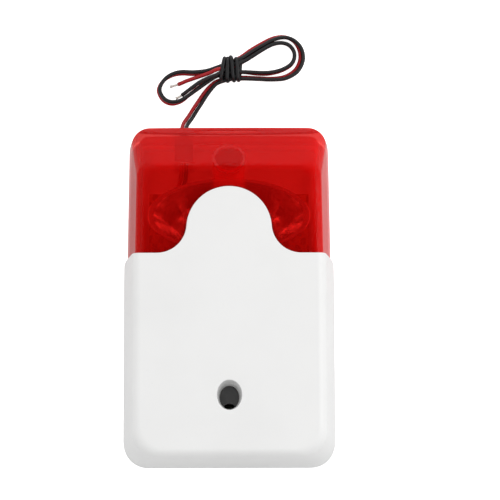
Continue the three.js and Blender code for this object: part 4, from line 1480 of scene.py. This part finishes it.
@dataclass
class BoardParts:
    """The round, wound and banded parts on the circuit board."""

    palette: Palette
    joint_count: int = 90

    def capacitor(self, node: str) -> None:
        """Builds one can with a rolled groove and a scored top."""
        low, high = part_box(node)
        centre, radius = (low + high) / 2, (high.x - low.x) / 2
        ease = 0.5 * MM
        profile = cylinder_profile(radius, low.z, high.z, ease)
        groove = [(radius, 1.6 * MM), (radius - 0.45 * MM, 2.1 * MM), (radius, 2.6 * MM)]
        sunk = high.z - 0.2 * MM
        profile = [*profile[:6], *[(r, low.z + z) for r, z in groove], *profile[6:-1]]
        profile += [(radius - 1.0 * MM, high.z), (radius - 1.1 * MM, sunk), (0.0, sunk)]
        can = lathe(f"{node}_can", profile, (centre.x, centre.y, 0.0), 64)
        for wide, long in ((0.12 * MM, 0.6 * radius), (0.6 * radius, 0.12 * MM)):
            corner = Vector((wide, long, 0.0))
            score_low = Vector((centre.x, centre.y, high.z - 0.4 * MM)) - corner
            score_high = Vector((centre.x, centre.y, high.z + MM)) + corner
            cut(can, Cut.REMOVE, block("score", score_low, score_high))
        dressed(smoothed(can), self.palette["capacitor_sleeve"], Body.BASE, "capacitor_sleeve", node)

    def axial(self, node: str, slot: str) -> None:
        """Builds one body that lies along X, with domed ends and the along attribute."""
        low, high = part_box(node)
        centre, radius, length = (low + high) / 2, (high.z - low.z) / 2, high.x - low.x
        bulb = 0.18 * length
        profile = [(0.0, 0.0), (0.55 * radius, 0.0), (0.9 * radius, 0.06 * length), (radius, 0.12 * length)]
        profile += [(radius, bulb), (0.84 * radius, bulb + 0.08 * length)]
        profile += [(r, length - a) for r, a in reversed(profile)]
        made = lathe(f"{node}_body", profile, steps=32)
        along = made.data.attributes.new("along", "FLOAT", "POINT")
        for vertex, value in zip(made.data.vertices, along.data):
            value.value = vertex.co.z / length
            x, y, z = vertex.co
            vertex.co = (low.x + z, centre.y + y, centre.z - x)
        dressed(smoothed(made, 60), self.palette[slot], Body.BASE, slot, node)

    @staticmethod
    def _coil_recipe() -> Recipe:
        """Winds a wire along a spiral, standing or lying."""
        r = Recipe("wound_coil")
        place, lying = r.given("Place", "Vector"), r.given("Lying", "Float")
        turns, radius = r.given("Turns", "Float"), r.given("Radius", "Float")
        height, wire = r.given("Height", "Float"), r.given("Wire radius", "Float")
        radii = {"Start Radius": radius, "End Radius": radius}
        spiral = {"Resolution": 24, "Rotations": turns, "Height": height, **radii}
        wound = r.tube(r.out("GeometryNodeCurveSpiral", 0, spiral), wire, 7)
        turn = r.out("ShaderNodeCombineXYZ", 0, {1: lying * (math.pi / 2)})
        placed = {"Geometry": wound, "Translation": place, "Rotation": turn}
        r.finish(r.out("GeometryNodeTransform", 0, placed))
        return r

    def coils(self) -> None:
        """Winds the choke and the trigger coil on their cores."""
        recipe = self._coil_recipe()
        finish = self.palette["enamelled_copper"]
        wire = 0.2 * MM
        low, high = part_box("siren_choke")
        middle, radius = (low + high) / 2, 0.78 * (high.x - low.x) / 2
        height = 0.62 * (high.z - low.z)
        standing = {"Place": (middle.x, middle.y, middle.z - height / 2), "Lying": 0.0, "Height": height}
        low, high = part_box("trigger_coil")
        middle, reach = (low + high) / 2, 0.7 * (high.x - low.x)
        lying = {"Place": (middle.x - reach / 2, middle.y, middle.z), "Lying": 1.0, "Height": reach}
        wound = (
            ("choke_winding", {**standing, "Radius": radius, "Turns": height / (2.1 * wire)}),
            ("trigger_winding", {**lying, "Radius": (high.z - low.z) / 2, "Turns": reach / (2.1 * wire)}),
        )
        for name, values in wound:
            piece = recipe.made(name, [(0.0, 0.0, 0.0)], {**values, "Wire radius": wire, "Finish": finish})
            dressed(smoothed(piece, 60), finish, Body.BASE, "winding_tape")

    def joints(self) -> None:
        """Scatters the solder joints on the board's underside."""
        low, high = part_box("circuit_board")
        r = Recipe("solder_joints")
        count, size, seed = r.given("Count", "Int"), r.given("Size", "Float"), r.given("Seed", "Int")
        span, middle = r.given("Span", "Vector"), r.given("Middle", "Vector")
        index = r.out("GeometryNodeInputIndex", 0, {})
        points = r.out("GeometryNodePoints", 0, {"Count": count})
        shift = {0: (-0.5, -0.5, 0.0), 1: (0.5, 0.5, 0.0), "ID": index, "Seed": seed}
        share = r.out("FunctionNodeRandomValue", 0, shift, data_type="FLOAT_VECTOR")
        spread = r.out("ShaderNodeVectorMath", 0, {0: share, 1: span}, operation="MULTIPLY")
        place = r.out("ShaderNodeVectorMath", 0, {0: spread, 1: middle}, operation="ADD")
        moved = r.out("GeometryNodeSetPosition", 0, {"Geometry": points, "Position": place})
        cone = {"Vertices": 8, "Side Segments": 2, "Depth": size}
        drop = r.out("GeometryNodeMeshCone", 0, {**cone, "Radius Top": size, "Radius Bottom": size * 0.3})
        spans = {2: 0.7, 3: 1.2, "ID": index, "Seed": seed}
        grow = r.out("FunctionNodeRandomValue", 1, spans, data_type="FLOAT")
        placed = {"Points": moved, "Instance": drop, "Scale": grow}
        r.finish(r.out("GeometryNodeInstanceOnPoints", 0, placed))
        finish = self.palette["tinned_copper"]
        values = {
            "Count": self.joint_count,
            "Size": 0.75 * MM,
            "Seed": SEED,
            "Span": ((high.x - low.x) * 0.8, (high.y - low.y) * 0.8, 0.0),
            "Middle": (0.0, (low.y + high.y) / 2, low.z - 0.7 * MM),
            "Finish": finish,
        }
        piece = r.made("solder_joints", [(0.0, 0.0, 0.0)], values)
        dressed(smoothed(piece, 60), finish, Body.BASE, "tinned_copper")

    def build(self) -> None:
        """Builds all of them."""
        self.capacitor("flash_capacitor")
        self.capacitor("filter_capacitor")
        for i in range(1, 5):
            self.axial(f"resistor_{i}", "resistor_body")
        self.axial("strobe_diode", "component_black")
        self.axial("supply_diode", "component_black")
        self.coils()
        self.joints()


# ---------------------------------------------------------------- leads


@dataclass(frozen=True)
class LeadRoutes:
    """The routes of the leads: x, y beyond the lens end, and z, in millimetres, as the part lists them.

    Where the pair runs together a fourth number tells its twist in degrees: 0 where red lies on the left
    of black and 90 where black lies on top of red.
    """

    run: tuple[RoutePoint, ...] = (
        (-16.0, 0.6, 3.4, 0.0),
        (-16.0, 3.1, 3.0, 0.0),
        (-15.5, 5.8, 1.7, 0.0),
        (-13.7, 8.7, 0.8, 0.0),
        (-11.9, 11.6, 0.8, 5.0),
        (-10.2, 14.2, 0.8, 12.0),
        (-8.2, 17.2, 0.8, 25.0),
        (-6.1, 19.7, 0.8, 40.0),
        (-3.9, 21.4, 0.8, 50.0),
    )
    right_outer: tuple[RoutePoint, ...] = (
        (0.7, 22.6, 0.8, 60.0),
        (5.4, 22.8, 0.8, 60.0),
        (10.2, 22.6, 0.8, 62.0),
        (15.5, 22.4, 0.8, 62.0),
        (20.3, 23.0, 0.8, 50.0),
        (24.3, 25.5, 0.8, 40.0),
        (26.2, 29.5, 0.8, 40.0),
        (25.7, 33.5, 0.8, 60.0),
        (23.4, 36.5, 0.8, 90.0),
        (20.1, 37.8, 0.8, 110.0),
        (16.1, 37.2, 0.8, 125.0),
        (11.4, 34.8, 0.8, 130.0),
        (7.8, 32.6, 0.8, 130.0),
        (4.6, 30.4, 0.8, 120.0),
        (0.3, 28.4, 0.8, 100.0),
    )
    left: tuple[RoutePoint, ...] = (
        (-3.9, 26.5, 0.8, 72.0),
        (-7.8, 25.2, 0.8, 72.0),
        (-12.4, 24.7, 0.8, 72.0),
        (-17.1, 24.8, 0.8, 75.0),
        (-20.6, 23.9, 0.8, 85.0),
        (-23.4, 21.8, 0.8, 100.0),
        (-24.9, 18.5, 0.8, 108.0),
        (-23.4, 15.2, 0.8, 110.0),
        (-20.6, 13.8, 0.8, 108.0),
        (-17.3, 14.4, 0.8, 95.0),
        (-14.3, 16.5, 0.8, 80.0),
        (-11.3, 18.8, 0.8, 72.0),
        (-8.3, 21.0, 0.8, 72.0),
        (-6.0, 22.6, 0.8, 72.0),
        (-3.9, 23.7, 0.8, 72.0),
    )
    right_inner: tuple[RoutePoint, ...] = (
        (0.7, 24.9, 0.8, 75.0),
        (5.4, 25.0, 0.8, 80.0),
        (10.2, 24.6, 0.8, 95.0),
        (14.4, 24.6, 0.8, 95.0),
        (18.5, 25.5, 0.8, 90.0),
        (22.0, 27.4, 0.8, 90.0),
        (23.5, 29.8, 0.8, 90.0),
        (23.4, 32.6, 0.8, 95.0),
        (21.6, 34.9, 0.8, 100.0),
        (18.8, 35.7, 0.8, 105.0),
        (15.5, 35.1, 0.8, 110.0),
        (12.0, 33.2, 0.8, 110.0),
        (8.6, 31.0, 0.8, 110.0),
        (5.2, 28.8, 0.8, 100.0),
        (1.0, 26.9, 1.6, 90.0),
    )
    red_end: tuple[Triple, ...] = (
        (-3.9, 25.5, 3.9),
        (-6.8, 24.3, 3.3),
        (-10.6, 23.1, 2.6),
        (-14.9, 21.8, 1.7),
        (-16.6, 21.2, 1.1),
        (-18.2, 20.6, 0.8),
    )
    black_end: tuple[Triple, ...] = (
        (-3.9, 23.7, 3.9),
        (-7.2, 22.4, 3.8),
        (-10.4, 20.8, 3.7),
        (-13.0, 19.0, 3.3),
        (-15.2, 17.5, 2.5),
        (-16.8, 16.4, 1.9),
    )
    red_tip: tuple[Triple, ...] = (
        (-18.6, 20.45, 0.8),
        (-19.8, 20.1, 0.7),
        (-21.0, 19.8, 0.6),
    )
    black_tip: tuple[Triple, ...] = (
        (-17.1, 16.2, 2.0),
        (-18.0, 15.7, 1.9),
        (-18.9, 15.3, 1.8),
    )


@dataclass
class Leads:
    """The red and black supply leads, their bow, the tie round it and the bare ends."""

    palette: Palette
    routes: LeadRoutes = field(default_factory=LeadRoutes)
    diameter: float = 1.4 * MM
    pitch: float = 1.46 * MM

    def _place(self, point: Triple) -> Vector:
        """A route point in the frame."""
        x, y, z = point
        return Vector((x * MM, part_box("lens")[1].y + y * MM, z * MM))

    def _twisted(self, pair: Sequence[RoutePoint], side: int) -> list[Vector]:
        """The line of one conductor of the pair.

        Args:
            pair: The pair's middle line with its twist.
            side: 1 for red, -1 for black.

        Returns:
            The conductor's points in the frame.
        """
        middle = [self._place((x, y, z)) for x, y, z, _ in pair]
        moved = []
        for i, point in enumerate(middle):
            along = middle[min(i + 1, len(middle) - 1)] - middle[max(i - 1, 0)]
            flat = Vector((-along.y, along.x, 0.0)).normalized()
            twist = math.radians(pair[i][3])
            lift = self.pitch * math.sin(twist) if side < 0 else 0.0
            moved.append(point + flat * (side * self.pitch / 2 * math.cos(twist)) + Vector((0.0, 0.0, lift)))
        return moved

    def _path(self, end: Sequence[Triple], side: int) -> list[Vector]:
        """The whole line of one conductor, from inside the grommet to its bared end."""
        r = self.routes
        line = self._twisted((*r.run, *r.right_outer, *r.left, *r.right_inner), side)
        start = line[0] - Vector((0.0, 4 * MM, 0.0))
        return [start, *line, *[self._place(p) for p in end]]

    @staticmethod
    def _fine(points: Sequence[Vector], per_gap: int = 8) -> list[Vector]:
        """A smooth curve through all the points."""
        line = [2 * points[0] - points[1], *points, 2 * points[-1] - points[-2]]
        out: list[Vector] = []
        for i in range(1, len(line) - 2):
            a, b, c, d = line[i - 1 : i + 3]
            square, cube = 2 * a - 5 * b + 4 * c - d, 3 * b - a - 3 * c + d
            for k in range(per_gap):
                t = k / per_gap
                out.append(0.5 * (2 * b + (c - a) * t + square * t**2 + cube * t**3))
        out.append(line[-2])
        return out

    @staticmethod
    def _length(points: Sequence[Vector]) -> float:
        """The length of a line."""
        return sum((b - a).length for a, b in zip(points, points[1:]))

    def _curve(self, name: str, points: Sequence[Vector], diameter: float) -> bpy.types.Object:
        """A round curve object along a line."""
        data = bpy.data.curves.new(name, "CURVE")
        data.dimensions = "3D"
        data.bevel_depth = diameter / 2
        data.bevel_resolution = 4
        data.use_fill_caps = True
        line = data.splines.new("POLY")
        line.points.add(len(points) - 1)
        for point, place in zip(line.points, points):
            point.co = (*place, 1.0)
        line.use_smooth = True
        made = bpy.data.objects.new(name, data)
        bpy.context.scene.collection.objects.link(made)
        return made

    def lead(self, colour: str, side: int, end: Sequence[Triple]) -> None:
        """Builds and dresses one conductor.

        Args:
            colour: Its name, red or black.
            side: 1 for the left of the pair, -1 for the right.
            end: The route of its free end.
        """
        points = self._fine(self._path(end, side))
        made = self._curve(f"lead_{colour}", points, self.diameter)
        nodes = [f"lead_{colour}_{part}" for part in ("run", "loop", "end")]
        if colour == "black":
            nodes.append("lead_bow")
        dressed(made, self.palette[f"{colour}_lead"], Body.BASE, f"{colour}_lead", *nodes)
        length = self._length(points)
        log.info("lead_%s is %.0f mm long", colour, length / MM)
        tuple(points[0])

    def tie(self) -> bpy.types.Object:
        """Builds and dresses the soft wire wound round the middle of the bow."""
        low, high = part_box("lead_tie")
        middle = (low + high) / 2
        wire = 1.5 * MM
        turns, steps = 4, 48
        half_y, half_z = (high.y - low.y - wire) / 2, (high.z - low.z - wire) / 2
        start = low.x + wire / 2
        pitch = (high.x - low.x - wire) / turns
        points = []
        for i in range(turns * steps + 1):
            turn = 2 * math.pi * i / steps
            share = i / (turns * steps)
            belly = 1.0 - 0.5 * (share - 0.45) ** 2 - 0.1 * math.sin(2.3 * turn / math.pi) ** 2
            lean = (1.3 - 1.6 * share) * MM * math.cos(turn) * math.copysign(1.0, 0.4 - share)
            across, over = math.cos(turn), math.sin(turn)
            x = start + pitch * i / steps + max(0.0, 0.9 - share) * lean
            y = middle.y + belly * half_y * math.copysign(abs(across) ** 0.8, across)
            z = middle.z + belly * half_z * math.copysign(abs(over) ** 0.75, over)
            points.append(Vector((x, y, z)))
        made = self._curve("lead_tie_wire", points, wire)
        return dressed(made, self.palette["black_lead"], Body.BASE, "black_lead", "lead_tie")

    def bare_tip(self, colour: str, end: Sequence[Triple]) -> bpy.types.Object:
        """Builds and dresses the twisted, tinned strands at one end."""
        tip = self.routes.red_tip if colour == "red" else self.routes.black_tip
        last = self._place(end[-1])
        reach = self._place(tip[-1]) - last
        heading, length = reach.normalized(), reach.length
        side = heading.cross(Vector((0.0, 0.0, 1.0))).normalized()
        slot = "tinned_copper"
        values = {
            "Start": last - heading * 0.3 * MM,
            "End": last + heading * length,
            "Side": side,
            "Up": side.cross(heading),
            "Strands": 7,
            "Orbit": 0.27 * MM,
            "Wire radius": 0.13 * MM,
            "Finish": self.palette[slot],
        }
        made = self._strand_recipe().made(f"lead_{colour}_strands", [(0.0, 0.0, 0.0)], values)
        return dressed(smoothed(made, 60), self.palette[slot], Body.BASE, slot, f"lead_{colour}_tip")

    @staticmethod
    def _strand_recipe() -> Recipe:
        """Twists strands round a straight core, opening a little at the free end."""
        r = Recipe("twisted_strands")
        start, end = r.given("Start", "Vector"), r.given("End", "Vector")
        side, up = r.given("Side", "Vector"), r.given("Up", "Vector")
        strands, orbit = r.given("Strands", "Int"), r.given("Orbit", "Float")
        wire = r.given("Wire radius", "Float")
        core = r.out("GeometryNodeCurvePrimitiveLine", 0, {"Start": start, "End": end})
        fine = r.out("GeometryNodeResampleCurve", 0, {"Curve": core, "Count": 24})
        copied = {"Geometry": fine, "Amount": strands}
        copies = r.node("GeometryNodeDuplicateElements", {"domain": "SPLINE"}, copied)
        number = Field(r, copies.outputs["Duplicate Index"])
        along = r.out("GeometryNodeSplineParameter", "Factor", {})
        turn = (number / (strands - 1.0) + along * 1.3) * (2 * math.pi)
        reach = orbit * (number > 0.5) * (1.0 + along.ramp(0.6, 1.0) * 0.5)
        aside, above = reach * (turn + math.pi / 2).sine(), reach * turn.sine()
        out = r.out("ShaderNodeVectorMath", 0, {0: side, "Scale": aside}, operation="SCALE")
        over = r.out("ShaderNodeVectorMath", 0, {0: up, "Scale": above}, operation="SCALE")
        away = r.out("ShaderNodeVectorMath", 0, {0: out, 1: over}, operation="ADD")
        twisted = {"Geometry": Field(r, copies.outputs[0]), "Offset": away}
        r.finish(r.tube(r.out("GeometryNodeSetPosition", 0, twisted), wire, 8))
        return r

    def build(self) -> None:
        """Builds both leads with all that is on them."""
        tie = self.tie()
        red_tip = self.bare_tip("red", self.routes.red_end)
        black_tip = self.bare_tip("black", self.routes.black_end)
        self.lead("red", 1, self.routes.red_end)
        self.lead("black", -1, self.routes.black_end)


# ---------------------------------------------------------------- studio


@dataclass
class Studio:
    """The pale floor, the soft lights and the camera."""

    elevation: float = 81.0
    azimuth: float = -0.35
    roll: float = 0.23
    distance: float = 900 * MM
    focal: float = 182.4
    shift: float = 0.042
    target: Triple = (0.0, 19.15 * MM, 0.0)
    room_level: float = 1.06
    front_dim: float = 0.55
    right_lift: float = 0.05
    floor_glow: float = 0.9

    def camera(self) -> None:
        """Sets the camera at the product view."""
        data = bpy.data.cameras.new("camera")
        data.lens = self.focal
        data.sensor_width = 36.0
        data.clip_start = 0.01
        data.shift_x = self.shift
        made = bpy.data.objects.new("camera", data)
        bpy.context.scene.collection.objects.link(made)
        lean, turn = math.radians(self.elevation), math.radians(self.azimuth)
        target = Vector(self.target)
        aim = Vector((math.cos(lean) * math.sin(turn), -math.cos(lean) * math.cos(turn), math.sin(lean)))
        made.location = target + self.distance * aim
        facing = (target - made.location).to_track_quat("-Z", "Y")
        made.rotation_euler = (facing @ Quaternion((0.0, 0.0, 1.0), math.radians(self.roll))).to_euler()
        bpy.context.scene.camera = made

    def floor(self) -> None:
        """Lays the pale floor."""
        half = 3.0
        level = -0.05 * MM
        corners = [(-half, -half, level), (half, -half, level), (half, half, level), (-half, half, level)]
        made = mesh_object("floor", corners, [(0, 1, 2, 3)])
        s = Shader.of("floor_paper")
        tone = s.mix((0.86, 0.86, 0.86), (0.84, 0.84, 0.84), s.noise(0.2))
        seen = Field(s, s.node("ShaderNodeLightPath").outputs["Is Camera Ray"])
        glow = {"Emission Color": (1.0, 1.0, 1.0, 1.0), "Emission Strength": seen * self.floor_glow}
        made.data.materials.append(s.finish(s.surface({"Base Color": tone, "Roughness": 0.9, **glow})))

    def softbox(self, name: str, place: Triple, size: tuple[float, float], power: float) -> None:
        """Hangs one soft light that faces the siren.

        Args:
            name: Its name.
            place: Where it hangs.
            size: Its width and height.
            power: Its power in watts.
        """
        data = bpy.data.lights.new(name, "AREA")
        data.shape = "RECTANGLE"
        data.size, data.size_y = size
        data.energy = power
        made = bpy.data.objects.new(name, data)
        bpy.context.scene.collection.objects.link(made)
        made.location = place
        made.visible_camera = False
        made.rotation_euler = (Vector((0.0, 0.0, 0.02)) - made.location).to_track_quat("-Z", "Y").to_euler()

    def room(self) -> None:
        """Sets the even light of the room, dimmer straight above and behind the camera."""
        world = bpy.data.worlds.new("room")
        s = Shader(world)
        way = Field(s, s.node("ShaderNodeTexCoord").outputs["Generated"])
        ahead, above, right = (s.part(way, axis) for axis in "YZX")
        low = 1.0 - above.ramp(0.35, 0.8)
        dim = (0.0 - ahead).ramp(0.0, 0.9) * low * self.front_dim
        lean = math.radians(self.elevation)
        mirrored = ahead * math.cos(lean) + above * math.sin(lean)
        level = (1.0 - dim + right * self.right_lift) * (1.0 - mirrored.ramp(0.978, 0.992) * 0.85)
        white = {"Color": (1.0, 1.0, 1.0, 1.0), "Strength": level * self.room_level}
        back = s.node("ShaderNodeBackground", None, white)
        s.node("ShaderNodeOutputWorld", None, {"Surface": Field(s, back.outputs[0])})
        bpy.context.scene.world = world

    def lights(self) -> None:
        """Sets the room light and the softboxes."""
        self.room()
        self.softbox("right_box", (0.7, 0.1, 0.6), (0.7, 0.34), 1.3)
        self.softbox("lens_box", (0.78, 0.05, 0.34), (0.6, 0.44), 3.4)
        self.softbox("bowl_box", (0.0, -0.42, 0.5), (0.8, 0.78), 6.0)
        self.softbox("back_box", (-0.05, 0.8, 0.3), (0.8, 0.1), 0.8)

    def reserve(self, light: str, finish: bpy.types.Material) -> None:
        """Lets one softbox fall only on the pieces of one finish.

        Args:
            light: The softbox.
            finish: The finish of the pieces.
        """
        group = bpy.data.collections.new(light)
        for piece in bpy.data.objects:
            if piece.type == "MESH" and finish.name in piece.data.materials:
                group.objects.link(piece)
        bpy.data.objects[light].light_linking.receiver_collection = group

    def build(self) -> None:
        """Sets camera, floor and lights."""
        self.camera()
        self.floor()
        self.lights()
        bpy.context.scene.view_settings.view_transform = "Standard"


# ---------------------------------------------------------------- everything


def main() -> None:
    """Builds the studio and every sub-assembly in order."""
    palette = Palette()
    studio = Studio()
    studio.build()
    Leads(palette).build()
    Housing(palette).build()
    Strobe(palette).build()
    Screws(palette).build()
    Sounder(palette).build()
    BoardParts(palette).build()
    studio.reserve("lens_box", palette["red_lens"])
    studio.reserve("bowl_box", palette["chrome_coat"])
    for entry in frame["record"]["subparts"]:
        node = frame["nodes"][entry["node"]]
        if entry["material_slot"] in Palette.FINISHES and node.data.materials:
            node.data.materials[0] = palette[entry["material_slot"]]


if __name__ == "__main__":
    main()
